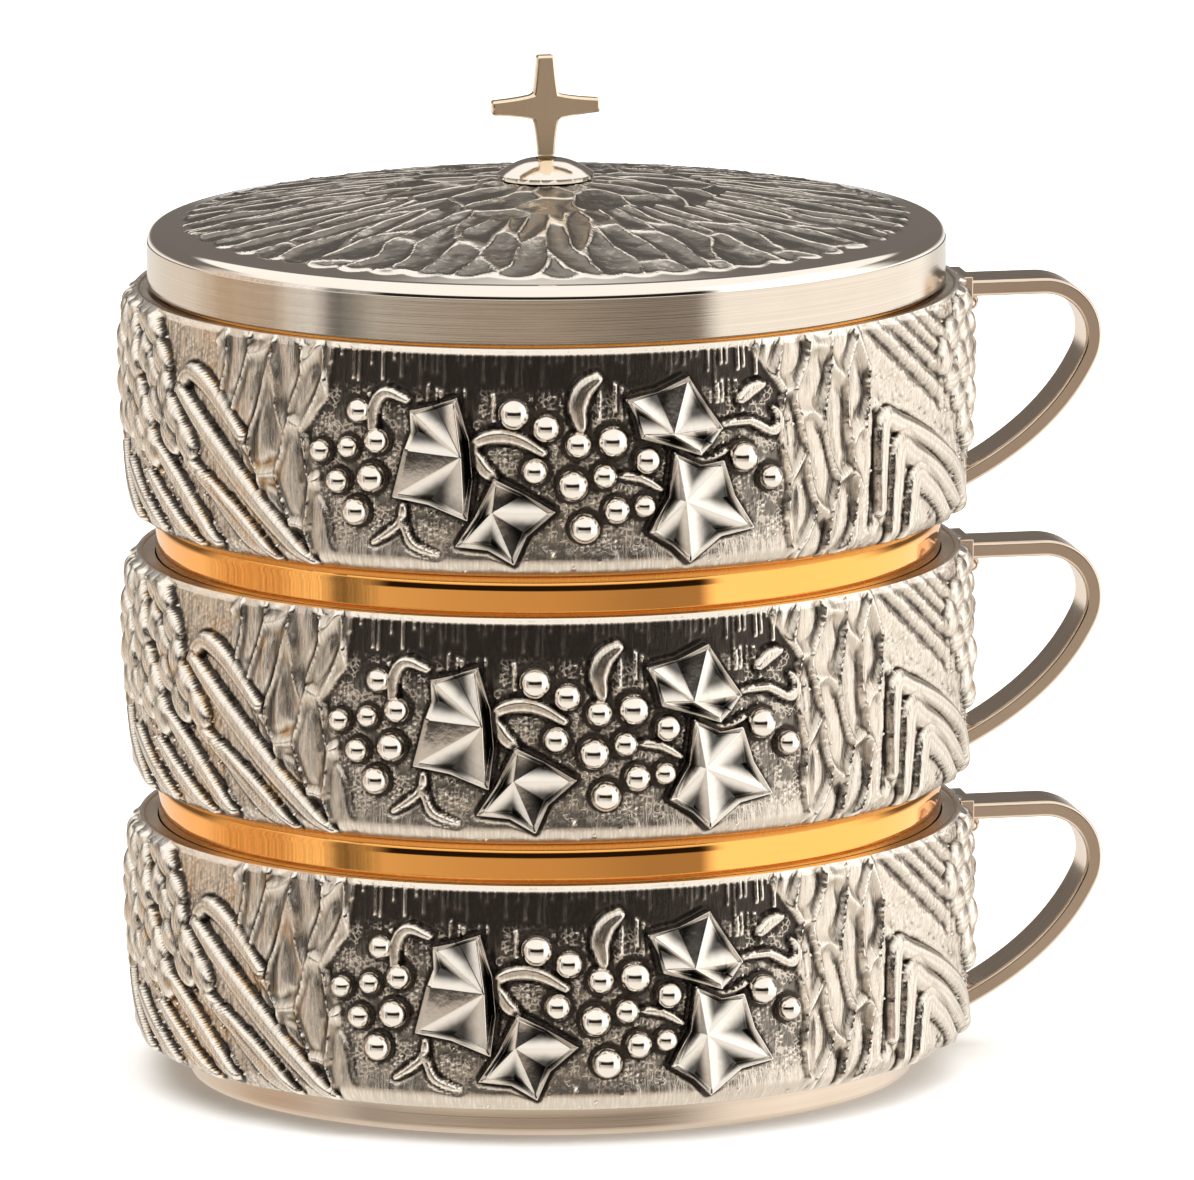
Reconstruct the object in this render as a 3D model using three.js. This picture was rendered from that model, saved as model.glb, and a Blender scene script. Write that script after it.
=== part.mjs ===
// A stacking ciborium: three nesting bowls in relief bands, each with a strap handle,
// under one domed lid with a cross. Millimetres, +Z up, the origin at the centre of the
// foot's underside, the handles towards +X and the front of the relief towards -Y.

import * as THREE from 'three';

// ---- Driving dimensions ----

const GAP = 0.3;                    // clearance left between touching pieces
const ROUND_STEPS = 36;             // facets round every large turned piece
const SMALL_STEPS = 16;             // facets round studs, washers and the boss

const TIER_NAMES = ['bottom', 'middle', 'top'];
const TIER_PITCH = 47;              // foot to foot, with the tiers stacked

const BAND_RADIUS = 73.8;           // ground of the relief band
const BAND_WALL = 1.6;
const BAND_LIP_RADIUS = 72.6;       // where the band draws in to its ledge
const BAND_CORNER = 3.4;            // rounding under the band
const BAND_TAPER = 6;               // height over which the top of the band draws in
const FOOT_HEIGHT = 5.9;            // from the foot's underside to the band's underside
const LEDGE_HEIGHT = 45.9;          // from the foot's underside to the ledge round the collar

const COLLAR_RADIUS = 69.2;         // outside of the gilt collar
const CUP_WALL = 1.2;
const CUP_STEP = 2;                 // how far the bowl stands in from its collar
const CUP_CORNER = 6.5;             // slope between the bowl's wall and floor

const FOOT_RADIUS = 64.2;
const FOOT_WALL = 2.2;
const FOOT_EDGE = 0.5;
const FOOT_PLATE = 1.2;
const BASE_PLATE = 1.5;

const BASE_STUD_RADIUS = 2.5;       // the screw under each bowl
const BASE_NUT_FLATS = 8;
const BASE_NUT_HEIGHT = 2.7;
const BASE_WASHER_RADIUS = 5.5;
const BASE_WASHER = 0.8;

const HANDLE_WIDTH = 10.8;
const HANDLE_THICK = 2.8;
const HANDLE_REACH = 97.3;          // axis of the vessel to the middle of the strap's bend
const HANDLE_BEND = 9;              // radius of the bend, to the middle of the strap
const HANDLE_TOP = 43;              // height of the strap's level run
const HANDLE_FOOT = 8.6;            // height at which the strap comes back to the band
const HANDLE_SIDE_STEPS = 8;
const PAD_THICK = 1.2;
const PAD_HEIGHT = 5;
const PAD_WIDTH = 12.4;

const LID_SHEET = 0.8;
const LID_BAND_HEIGHT = 7.5;
const LID_EDGE = 2.3;               // radius of the rolled edge of the dome
const DOME_RISE = 8.4;
const DOME_WALL = 1.2;
const DOME_POWER = 1.5;             // 1 is a cone and 2 is a round cap
const DOME_STEPS = 6;

const BOSS_RADIUS = 8.5;
const BOSS_HEIGHT = 3;

const CROSS_HEIGHT = 18;
const CROSS_HALF_SPAN = 9.6;
const CROSS_PLATE = 2.5;
const CROSS_ARM_UP = 8.9;           // middle of the arms above the cross's foot
const CROSS_HUB = 2.25;             // half width where the arms meet
const CROSS_FOOT_HALF = 1.4;
const CROSS_TIP_HALF = 1.5;
const CROSS_ARM_HALF = 1.25;

const LID_STUD_RADIUS = 1.5;
const LID_NUT_FLATS = 5.5;
const LID_NUT_HEIGHT = 2.4;
const LID_WASHER_RADIUS = 4;
const LID_WASHER = 0.6;

// ---- Sizes worked out from them ----

const COLLAR_TOP = TIER_PITCH + FOOT_HEIGHT - GAP;
const FLOOR_BOTTOM = FOOT_HEIGHT + BASE_PLATE + GAP;
const FLOOR_TOP = FLOOR_BOTTOM + CUP_WALL;
const BOWL_RADIUS = COLLAR_RADIUS - CUP_STEP;
const BASE_RADIUS = FOOT_RADIUS - FOOT_WALL / 2 - GAP;
const BASE_HOLE = BASE_STUD_RADIUS + GAP;
const BASE_STUD_BOTTOM = FOOT_PLATE + 2 * GAP;

const LID_REST = (TIER_NAMES.length - 1) * TIER_PITCH + LEDGE_HEIGHT + GAP;
const LID_RADIUS = COLLAR_RADIUS + GAP + LID_SHEET;
const DOME_RIM = LID_REST + LID_BAND_HEIGHT + GAP;
const DOME_EDGE_RADIUS = LID_RADIUS - LID_EDGE;
const DOME_BASE = DOME_RIM + LID_EDGE;
const LID_HOLE = LID_STUD_RADIUS + GAP;
const BOSS_BASE = DOME_BASE + DOME_RISE + GAP;
const CROSS_BASE = BOSS_BASE + BOSS_HEIGHT + GAP;

// ---- Materials ----

const gilt = new THREE.MeshStandardMaterial({ color: 0xd99a45, metalness: 1, roughness: 0.12 });
const giltBrushed = new THREE.MeshStandardMaterial({ color: 0xc99a58, metalness: 1, roughness: 0.4 });
const oxidised = new THREE.MeshStandardMaterial({ color: 0xa89c90, metalness: 0.9, roughness: 0.42 });
const silver = new THREE.MeshStandardMaterial({ color: 0xcfc8bd, metalness: 1, roughness: 0.25 });
const satin = new THREE.MeshStandardMaterial({ color: 0xb39a80, metalness: 1, roughness: 0.38 });
const brass = new THREE.MeshStandardMaterial({ color: 0xb08d57, metalness: 1, roughness: 0.4 });

const ciborium = new THREE.Group();

// ---- Shape helpers ----

function addMesh(group, name, geometry, material) {
  const mesh = new THREE.Mesh(geometry, material);
  mesh.name = name;
  group.add(mesh);
  return mesh;
}

// Turns a list of [radius, height] corners round the Z axis.
function turned(corners, steps = ROUND_STEPS) {
  const profile = corners.map(([radius, height]) => new THREE.Vector2(radius, height));
  const geometry = new THREE.LatheGeometry(profile, steps);
  geometry.rotateX(Math.PI / 2);
  return geometry;
}

// A turned ring of rectangular section.
function ring(inner, outer, bottom, top, steps = ROUND_STEPS) {
  return turned([[inner, bottom], [outer, bottom], [outer, top], [inner, top], [inner, bottom]], steps);
}

function disc(radius, bottom, top, steps = ROUND_STEPS) {
  return turned([[0, bottom], [radius, bottom], [radius, top], [0, top]], steps);
}

// A hexagon nut with a plain hole.
function nut(acrossFlats, holeRadius, bottom, height) {
  const cornerRadius = acrossFlats / Math.sqrt(3);
  const shape = new THREE.Shape();
  for (let corner = 0; corner < 6; corner += 1) {
    const angle = corner * Math.PI / 3;
    const x = cornerRadius * Math.cos(angle);
    const y = cornerRadius * Math.sin(angle);
    if (corner === 0) {
      shape.moveTo(x, y);
    } else {
      shape.lineTo(x, y);
    }
  }
  shape.closePath();
  const hole = new THREE.Path();
  hole.absarc(0, 0, holeRadius, 0, 2 * Math.PI, true);
  shape.holes.push(hole);
  const geometry = new THREE.ExtrudeGeometry(shape, {
    depth: height, bevelEnabled: false, curveSegments: SMALL_STEPS / 2,
  });
  geometry.translate(0, 0, bottom);
  return geometry;
}

// Extrudes an upright outline, drawn in X and Z, evenly to both sides of the XZ plane.
function upright(shape, thickness, curveSegments) {
  const geometry = new THREE.ExtrudeGeometry(shape, {
    depth: thickness, bevelEnabled: false, curveSegments,
  });
  geometry.rotateX(Math.PI / 2);
  geometry.translate(0, thickness / 2, 0);
  return geometry;
}

// ---- One tier ----

// The gilt bowl: floor, wall and collar in one sheet, with the screw under its floor.
function cupGeometry() {
  const stepBottom = LEDGE_HEIGHT - 2 * CUP_STEP;
  return turned([
    [0, BASE_STUD_BOTTOM],
    [BASE_STUD_RADIUS, BASE_STUD_BOTTOM],
    [BASE_STUD_RADIUS, FLOOR_BOTTOM],
    [BOWL_RADIUS - CUP_CORNER, FLOOR_BOTTOM],
    [BOWL_RADIUS, FLOOR_BOTTOM + CUP_CORNER],
    [BOWL_RADIUS, stepBottom - CUP_STEP / 2],
    [COLLAR_RADIUS, stepBottom + CUP_STEP / 2],
    [COLLAR_RADIUS, COLLAR_TOP],
    [COLLAR_RADIUS - CUP_WALL, COLLAR_TOP],
    [COLLAR_RADIUS - CUP_WALL, stepBottom + CUP_STEP],
    [BOWL_RADIUS - CUP_WALL, stepBottom],
    [BOWL_RADIUS - CUP_WALL, FLOOR_TOP + CUP_CORNER - CUP_WALL / 2],
    [BOWL_RADIUS - CUP_CORNER - CUP_WALL / 2, FLOOR_TOP],
    [0, FLOOR_TOP],
  ]);
}

// The silver sleeve that carries the relief, with a ledge round the collar at its top
// and a flange under the bowl at its bottom.
function reliefBandGeometry() {
  const inner = BAND_RADIUS - BAND_WALL;
  const softened = BAND_CORNER * (1 - Math.SQRT1_2);
  return turned([
    [BASE_RADIUS + GAP, FOOT_HEIGHT],
    [BAND_RADIUS - BAND_CORNER, FOOT_HEIGHT],
    [BAND_RADIUS - softened, FOOT_HEIGHT + softened],
    [BAND_RADIUS, FOOT_HEIGHT + BAND_CORNER],
    [BAND_RADIUS, LEDGE_HEIGHT - BAND_TAPER],
    [BAND_LIP_RADIUS, LEDGE_HEIGHT],
    [COLLAR_RADIUS + GAP, LEDGE_HEIGHT],
    [COLLAR_RADIUS + GAP, LEDGE_HEIGHT - BAND_WALL],
    [BAND_LIP_RADIUS - BAND_WALL, LEDGE_HEIGHT - BAND_WALL],
    [inner, LEDGE_HEIGHT - BAND_TAPER],
    [inner, FOOT_HEIGHT + BAND_CORNER],
    [inner - BAND_WALL, FOOT_HEIGHT + BAND_WALL],
    [BASE_RADIUS + GAP, FOOT_HEIGHT + BAND_WALL],
    [BASE_RADIUS + GAP, FOOT_HEIGHT],
  ]);
}

function footRingGeometry() {
  return turned([
    [FOOT_RADIUS - FOOT_WALL, 0],
    [FOOT_RADIUS - FOOT_EDGE, 0],
    [FOOT_RADIUS, FOOT_EDGE],
    [FOOT_RADIUS, FOOT_HEIGHT - GAP],
    [FOOT_RADIUS - FOOT_WALL, FOOT_HEIGHT - GAP],
    [FOOT_RADIUS - FOOT_WALL, 0],
  ]);
}

// The middle line of the strap: level out from the band, round the bend, and a long
// easy curve back in to the foot of the band.
function handleLine() {
  const bendX = HANDLE_REACH - HANDLE_BEND;
  const bendZ = HANDLE_TOP - HANDLE_BEND;
  const bendEnd = -Math.PI / 7;
  const line = new THREE.CurvePath();
  const root = new THREE.Vector2(BAND_RADIUS + 2 * GAP + PAD_THICK, HANDLE_TOP - GAP);
  const bendStart = new THREE.Vector2(bendX, HANDLE_TOP);
  const bendStop = new THREE.Vector2(
    bendX + HANDLE_BEND * Math.cos(bendEnd),
    bendZ + HANDLE_BEND * Math.sin(bendEnd),
  );
  const returnPull = new THREE.Vector2(
    bendStop.x + 1.6 * HANDLE_BEND * Math.sin(bendEnd),
    bendStop.y - 1.6 * HANDLE_BEND * Math.cos(bendEnd),
  );
  const foot = new THREE.Vector2(BAND_RADIUS + 2 * GAP, HANDLE_FOOT);
  line.add(new THREE.LineCurve(root, bendStart));
  line.add(new THREE.ArcCurve(bendX, bendZ, HANDLE_BEND, Math.PI / 2, bendEnd, true));
  line.add(new THREE.QuadraticBezierCurve(bendStop, returnPull, foot));
  return line;
}

function handleGeometry() {
  const middle = handleLine();
  const outerSide = [];
  const innerSide = [];
  middle.curves.forEach((curve, index) => {
    const steps = curve.isLineCurve ? 1 : HANDLE_SIDE_STEPS;
    for (let step = index === 0 ? 0 : 1; step <= steps; step += 1) {
      const point = curve.getPoint(step / steps);
      const along = curve.getTangent(step / steps);
      const normal = new THREE.Vector2(-along.y, along.x).multiplyScalar(HANDLE_THICK / 2);
      outerSide.push(point.clone().add(normal));
      innerSide.push(point.clone().sub(normal));
    }
  });
  // The lower end is cut upright, level with the face of the band.
  const cutX = middle.curves[2].v2.x;
  for (const side of [outerSide, innerSide]) {
    const end = side[side.length - 1];
    const before = side[side.length - 2];
    const slope = (end.y - before.y) / (end.x - before.x);
    end.set(cutX, before.y + slope * (cutX - before.x));
  }
  const outline = new THREE.Shape([...outerSide, ...innerSide.reverse()]);
  return upright(outline, HANDLE_WIDTH, 1);
}

// The flat pad between the strap's upper end and the band.
function handlePadGeometry() {
  const geometry = new THREE.BoxGeometry(PAD_THICK, PAD_WIDTH, PAD_HEIGHT);
  geometry.translate(BAND_RADIUS + GAP + PAD_THICK / 2, 0, HANDLE_TOP - GAP);
  return geometry;
}

function makeTier(name, height) {
  const tier = new THREE.Group();
  const add = (piece, geometry, material) => addMesh(tier, `${name}_${piece}`, geometry, material);
  const washerTop = FOOT_HEIGHT - GAP;
  const nutTop = washerTop - BASE_WASHER - GAP;

  add('cup', cupGeometry(), gilt);
  add('relief_band', reliefBandGeometry(), oxidised);
  add('base_plate', ring(BASE_HOLE, BASE_RADIUS, FOOT_HEIGHT, FOOT_HEIGHT + BASE_PLATE), silver);
  add('foot_ring', footRingGeometry(), satin);
  add('foot_plate', disc(FOOT_RADIUS - FOOT_WALL - GAP, 0, FOOT_PLATE), satin);
  add('base_washer', ring(BASE_HOLE, BASE_WASHER_RADIUS, washerTop - BASE_WASHER, washerTop, SMALL_STEPS), brass);
  add('base_nut', nut(BASE_NUT_FLATS, BASE_HOLE, nutTop - BASE_NUT_HEIGHT, BASE_NUT_HEIGHT), brass);
  add('handle', handleGeometry(), silver);
  add('handle_pad', handlePadGeometry(), silver);

  tier.position.z = height;
  return tier;
}

// ---- The lid ----

function domeHeight(radius) {
  return DOME_BASE + DOME_RISE * (1 - (radius / DOME_EDGE_RADIUS) ** DOME_POWER);
}

// The domed sheet, with a rolled edge that stands on the lid's band.
function lidDomeGeometry() {
  const outside = [];
  const inside = [];
  for (let step = 0; step <= DOME_STEPS; step += 1) {
    const radius = LID_HOLE + (DOME_EDGE_RADIUS - LID_HOLE) * step / DOME_STEPS;
    outside.push([radius, domeHeight(radius)]);
    inside.push([Math.min(radius, DOME_EDGE_RADIUS - DOME_WALL), domeHeight(radius) - DOME_WALL]);
  }
  const rolled = LID_EDGE * Math.SQRT1_2;
  return turned([
    ...inside,
    [LID_RADIUS - 2 * DOME_WALL, DOME_RIM],
    [LID_RADIUS, DOME_RIM],
    [DOME_EDGE_RADIUS + rolled, DOME_RIM + rolled],
    ...outside.reverse(),
    inside[0],
  ]);
}

function bossGeometry() {
  return turned([
    [LID_HOLE, BOSS_BASE],
    [BOSS_RADIUS, BOSS_BASE],
    [BOSS_RADIUS, BOSS_BASE + BOSS_HEIGHT * 0.2],
    [BOSS_RADIUS * 0.72, BOSS_BASE + BOSS_HEIGHT * 0.66],
    [BOSS_RADIUS * 0.4, BOSS_BASE + BOSS_HEIGHT * 0.92],
    [LID_HOLE, BOSS_BASE + BOSS_HEIGHT],
    [LID_HOLE, BOSS_BASE],
  ], 2 * SMALL_STEPS);
}

// A flat cross whose arms narrow towards their ends with hollow edges.
function crossGeometry() {
  const armZ = CROSS_BASE + CROSS_ARM_UP;
  const top = CROSS_BASE + CROSS_HEIGHT;
  const hollow = 0.35;
  const shape = new THREE.Shape();
  shape.moveTo(-CROSS_FOOT_HALF, CROSS_BASE);
  shape.lineTo(CROSS_FOOT_HALF, CROSS_BASE);
  const corners = [
    [[CROSS_HUB, armZ - CROSS_HUB], [CROSS_FOOT_HALF + hollow, armZ - 2 * CROSS_HUB]],
    [[CROSS_HALF_SPAN, armZ - CROSS_ARM_HALF], [2 * CROSS_HUB, armZ - CROSS_ARM_HALF - hollow]],
    [[CROSS_HALF_SPAN, armZ + CROSS_ARM_HALF], null],
    [[CROSS_HUB, armZ + CROSS_HUB], [2 * CROSS_HUB, armZ + CROSS_ARM_HALF + hollow]],
    [[CROSS_TIP_HALF, top], [CROSS_TIP_HALF + hollow, armZ + 2 * CROSS_HUB]],
    [[-CROSS_TIP_HALF, top], null],
    [[-CROSS_HUB, armZ + CROSS_HUB], [-CROSS_TIP_HALF - hollow, armZ + 2 * CROSS_HUB]],
    [[-CROSS_HALF_SPAN, armZ + CROSS_ARM_HALF], [-2 * CROSS_HUB, armZ + CROSS_ARM_HALF + hollow]],
    [[-CROSS_HALF_SPAN, armZ - CROSS_ARM_HALF], null],
    [[-CROSS_HUB, armZ - CROSS_HUB], [-2 * CROSS_HUB, armZ - CROSS_ARM_HALF - hollow]],
    [[-CROSS_FOOT_HALF, CROSS_BASE], [-CROSS_FOOT_HALF - hollow, armZ - 2 * CROSS_HUB]],
  ];
  for (const [corner, pull] of corners) {
    if (pull) {
      shape.quadraticCurveTo(...pull, ...corner);
    } else {
      shape.lineTo(...corner);
    }
  }
  return upright(shape, CROSS_PLATE, 3);
}

function makeLid() {
  const lid = new THREE.Group();
  const washerTop = domeHeight(LID_WASHER_RADIUS) - DOME_WALL - GAP;
  const nutTop = washerTop - LID_WASHER - GAP;
  const nutBottom = nutTop - LID_NUT_HEIGHT;

  addMesh(lid, 'lid_band', ring(COLLAR_RADIUS + GAP, LID_RADIUS, LID_REST, LID_REST + LID_BAND_HEIGHT), satin);
  addMesh(lid, 'lid_dome', lidDomeGeometry(), oxidised);
  addMesh(lid, 'lid_boss', bossGeometry(), silver);
  addMesh(lid, 'cross', crossGeometry(), giltBrushed);
  addMesh(lid, 'cross_stud', disc(LID_STUD_RADIUS, nutBottom - GAP, CROSS_BASE - GAP, SMALL_STEPS), brass);
  addMesh(lid, 'cross_washer', ring(LID_HOLE, LID_WASHER_RADIUS, washerTop - LID_WASHER, washerTop, SMALL_STEPS), brass);
  addMesh(lid, 'cross_nut', nut(LID_NUT_FLATS, LID_HOLE, nutBottom, LID_NUT_HEIGHT), brass);
  return lid;
}

TIER_NAMES.forEach((name, index) => ciborium.add(makeTier(name, index * TIER_PITCH)));
ciborium.add(makeLid());

export default ciborium;
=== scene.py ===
"""A stacking ciborium: three gilt bowls in silver relief bands, under one domed lid.

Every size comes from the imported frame, which stays where it is: the pieces made here stand
round it, in metres, on the same origin. The relief is laid out flat, in millimetres along
and up the band, and is then bent round it.
"""

import math

import bmesh
import bpy
import numpy as np
from mathutils import Matrix, Vector


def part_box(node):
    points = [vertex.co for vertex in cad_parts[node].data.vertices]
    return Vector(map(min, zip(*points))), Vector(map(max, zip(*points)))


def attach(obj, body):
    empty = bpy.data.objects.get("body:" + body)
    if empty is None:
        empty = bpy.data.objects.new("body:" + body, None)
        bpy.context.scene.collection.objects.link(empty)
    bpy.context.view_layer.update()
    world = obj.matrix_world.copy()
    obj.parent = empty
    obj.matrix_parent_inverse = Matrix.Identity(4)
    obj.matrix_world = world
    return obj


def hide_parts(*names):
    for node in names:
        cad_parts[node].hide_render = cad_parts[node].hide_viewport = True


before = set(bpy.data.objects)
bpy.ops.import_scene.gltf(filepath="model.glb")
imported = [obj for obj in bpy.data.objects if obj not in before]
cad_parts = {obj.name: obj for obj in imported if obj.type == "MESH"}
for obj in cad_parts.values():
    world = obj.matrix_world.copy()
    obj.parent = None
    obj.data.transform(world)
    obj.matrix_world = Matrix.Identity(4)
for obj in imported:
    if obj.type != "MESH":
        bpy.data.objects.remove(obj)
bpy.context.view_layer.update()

bl_info = {
    "name": "Stacking ciborium",
    "version": (1, 0, 0),
    "blender": (4, 5, 0),
    "location": "3D View > Sidebar > Ciborium",
    "description": "Builds a stacking ciborium round its packed frame",
    "category": "Add Mesh",
}

MM = 0.001
TIERS = ("bottom", "middle", "top")
TIER_TURN = {"bottom": -7.4, "middle": -7.4, "top": -10.0}   # degrees: loose tiers never line up
RING_STEPS = 192
BAND_STEPS = 660               # for half a band
BAND_ROWS = 112
DOME_STEPS = 640
DOME_RINGS = 124
SLICES = 12                    # a ring is spun as one slice, which is then copied round


# ---- Sizes read from the frame ----

def low(node):
    """Height of a node's underside."""
    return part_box(node)[0].z


def high(node):
    """Height of a node's top."""
    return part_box(node)[1].z


def radius(node):
    """The outer radius of a turned node, measured across the facets' corners."""
    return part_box(node)[1].y


BAND_OUT = radius("top_relief_band")
BAND_TALL = high("top_relief_band") - low("top_relief_band")
COLLAR_OUT = radius("top_cup")
FOOT_OUT = radius("bottom_foot_ring")
LID_OUT = radius("lid_band")
BAND_TOP_DRAW = 1.2 * MM       # how far the band draws in towards its lip
BAND_CORNER = 3.4 * MM
BAND_WALL = 1.6 * MM
DOME_ROLL = 2.3 * MM           # how far the dome's edge is rolled
DOME_WALL = 1.2 * MM
DOME_HOLE = 1.8 * MM


# ---- Settings ----

class CIBORIUM_PG_sizes(bpy.types.PropertyGroup):
    """Sizes that the frame doesn't hold."""

    relief_depth: bpy.props.FloatProperty(
        name="Relief depth", description="How strongly the relief stands out, 1 as made",
        default=1.0, min=0.2, max=2.0)
    grape_rise: bpy.props.FloatProperty(
        name="Grape rise", description="Share of a grape's radius that its middle stands above the ground",
        default=0.35, min=0.0, max=1.0)
    leaf_rise: bpy.props.FloatProperty(
        name="Leaf rise", description="Height of a leaf's rim over the ground",
        default=1.5 * MM, unit="LENGTH")
    strap_edge: bpy.props.FloatProperty(
        name="Strap edge", description="Rounding along the edges of the handles",
        default=0.5 * MM, unit="LENGTH")
    cross_edge: bpy.props.FloatProperty(
        name="Cross edge", description="Bevel round the cross",
        default=0.4 * MM, unit="LENGTH")


class CIBORIUM_PG_colours(bpy.types.PropertyGroup):
    """Colours of the plating."""

    silver: bpy.props.FloatVectorProperty(
        name="Silver", description="Polished high points of the silver",
        subtype="COLOR", size=3, default=(0.88, 0.83, 0.77))
    tarnish: bpy.props.FloatVectorProperty(
        name="Tarnish", description="Darkened hollows of the relief",
        subtype="COLOR", size=3, default=(0.045, 0.036, 0.03))
    amber: bpy.props.FloatVectorProperty(
        name="Amber", description="Warm stain in the patina of the ears and blades",
        subtype="COLOR", size=3, default=(0.50, 0.29, 0.11))
    gilt: bpy.props.FloatVectorProperty(
        name="Gilt", description="Gilding of the bowls",
        subtype="COLOR", size=3, default=(1.0, 0.46, 0.12))
    satin: bpy.props.FloatVectorProperty(
        name="Satin", description="Brushed silver of the lid's band and the relief's plates",
        subtype="COLOR", size=3, default=(0.65, 0.58, 0.50))
    champagne: bpy.props.FloatVectorProperty(
        name="Champagne", description="Warm plate of the handles and the feet",
        subtype="COLOR", size=3, default=(0.60, 0.50, 0.41))
    cross: bpy.props.FloatVectorProperty(
        name="Cross", description="Warm face of the cross",
        subtype="COLOR", size=3, default=(1.0, 0.80, 0.61))
    brass: bpy.props.FloatVectorProperty(
        name="Brass", description="Nuts, washers and studs",
        subtype="COLOR", size=3, default=(0.55, 0.40, 0.18))


class CIBORIUM_PG_stage(bpy.types.PropertyGroup):
    """Where the camera and the lamps stand."""

    camera_turn: bpy.props.FloatProperty(
        name="Camera turn", description="How far the camera stands round from the front",
        subtype="ANGLE", default=math.radians(-10))
    camera_away: bpy.props.FloatProperty(
        name="Camera distance", description="Level distance from the axis to the camera",
        unit="LENGTH", default=2.995)
    camera_height: bpy.props.FloatProperty(
        name="Camera height", description="Height of the camera over the floor",
        unit="LENGTH", default=0.624)
    camera_side: bpy.props.FloatProperty(
        name="Camera side step", description="How far the camera stands to its own right of the axis",
        unit="LENGTH", default=0.00856)
    aim_height: bpy.props.FloatProperty(
        name="Aim height", description="Height on the axis that the camera is aimed at",
        unit="LENGTH", default=0.0848)
    lens: bpy.props.FloatProperty(
        name="Lens", description="Focal length on a 36 mm sensor, in millimetres",
        default=519.8)
    roll: bpy.props.FloatProperty(
        name="Roll", description="How far the camera leans round its own axis",
        subtype="ANGLE", default=math.radians(-0.34))


# ---- Shader tools ----

MIX_FIRST, MIX_SECOND, MIX_COLOUR = 6, 7, 2     # a Mix node's colour sockets follow its others


class Wire:
    """A shader socket. A sum written with it adds the Math nodes that it needs."""

    def __init__(self, finish, socket):
        self.finish = finish
        self.socket = socket

    def maths(self, operation, *values):
        """A Math node on all its values, this wire among them where it is wanted."""
        inputs = dict(enumerate(values))
        return self.finish.node("ShaderNodeMath", {"operation": operation}, inputs).out()

    def __add__(self, other):
        return self.maths("ADD", self, other)

    def __radd__(self, other):
        return self.maths("ADD", other, self)

    def __sub__(self, other):
        return self.maths("SUBTRACT", self, other)

    def __rsub__(self, other):
        return self.maths("SUBTRACT", other, self)

    def __mul__(self, other):
        return self.maths("MULTIPLY", self, other)

    def __rmul__(self, other):
        return self.maths("MULTIPLY", other, self)

    def between(self, bottom, top):
        """0 below bottom, 1 above top, and smooth from one to the other."""
        return self.finish.node(
            "ShaderNodeMapRange", {"interpolation_type": "SMOOTHSTEP"},
            {"Value": self, "From Min": bottom, "From Max": top}).out("Result")


class Made:
    """A node that has been added, ready to give its outputs."""

    def __init__(self, finish, node):
        self.finish = finish
        self.made = node

    def out(self, name=0):
        return Wire(self.finish, self.made.outputs[name])


class Nodes:
    """A node tree that is built node by node."""

    def __init__(self, tree):
        self.tree = tree

    def node(self, kind, settings=None, sockets=None):
        """Adds one node: its settings first, then the values or wires of its sockets."""
        node = self.tree.nodes.new(kind)
        for name, value in (settings or {}).items():
            if name == "stops":
                self.set_stops(node.color_ramp, value)
            else:
                setattr(node, name, value)
        for name, value in (sockets or {}).items():
            self.feed(node.inputs[name], value)
        return Made(self, node)

    def set_stops(self, ramp, stops):
        """Gives a colour ramp its stops, each a position and a colour."""
        while len(ramp.elements) < len(stops):
            ramp.elements.new(0.5)
        for element, (position, colour) in zip(ramp.elements, stops):
            element.position = position
            element.color = (*colour, 1)

    def feed(self, socket, value):
        """Links a wire to a socket, or sets the socket to a value."""
        if isinstance(value, Wire):
            self.tree.links.new(value.socket, socket)
        elif socket.type == "RGBA" and len(value) == 3:
            socket.default_value = (*value, 1)
        else:
            socket.default_value = value

    def mixed(self, share, first, second):
        """One colour where share is 0, the other where it is 1."""
        node = self.node("ShaderNodeMix", {"data_type": "RGBA"}).made
        self.feed(node.inputs["Factor"], share)
        self.feed(node.inputs[MIX_FIRST], first)
        self.feed(node.inputs[MIX_SECOND], second)
        return Wire(self, node.outputs[MIX_COLOUR])


class Finish(Nodes):
    """A material that is built node by node."""

    def __init__(self, name):
        self.material = bpy.data.materials.new(name)
        self.material.use_nodes = True
        super().__init__(self.material.node_tree)
        self.shader = self.tree.nodes["Principled BSDF"]
        self.coordinates = self.node("ShaderNodeTexCoord").out("Object")

    def set(self, **sockets):
        """Feeds the sockets of the shader itself: base_color stands for Base Color."""
        for name, value in sockets.items():
            self.feed(self.shader.inputs[name.replace("_", " ").title()], value)
        return self.material

    def placed(self, scale, vector=None):
        """The object's coordinates, stretched by scale."""
        return self.node("ShaderNodeMapping", None, {
            "Vector": vector or self.coordinates, "Scale": scale}).out()

    def noise(self, vector, scale, detail=3.0, roughness=0.55):
        """Cloudy noise, mostly from 0.3 to 0.7."""
        return self.node("ShaderNodeTexNoise", None, {
            "Vector": vector, "Scale": scale, "Detail": detail, "Roughness": roughness}).out("Fac")

    def edges(self, vector, scale):
        """Distance to the nearest border between the cells of many scattered points."""
        return self.node("ShaderNodeTexVoronoi", {"feature": "DISTANCE_TO_EDGE"}, {
            "Vector": vector, "Scale": scale}).out("Distance")

    def attribute(self, name):
        """A number that the mesh holds for each of its points."""
        return self.node("ShaderNodeAttribute", {"attribute_name": name}).out("Fac")

    def bump(self, height, distance):
        """Normals of a surface that height raises by up to distance, in metres."""
        return self.node("ShaderNodeBump", None, {
            "Height": height, "Distance": distance, "Strength": 1.0}).out("Normal")


def tone(colour, factor):
    """A colour made lighter or darker."""
    return tuple(min(1.0, part * factor) for part in colour)


# ---- Materials ----

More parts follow.
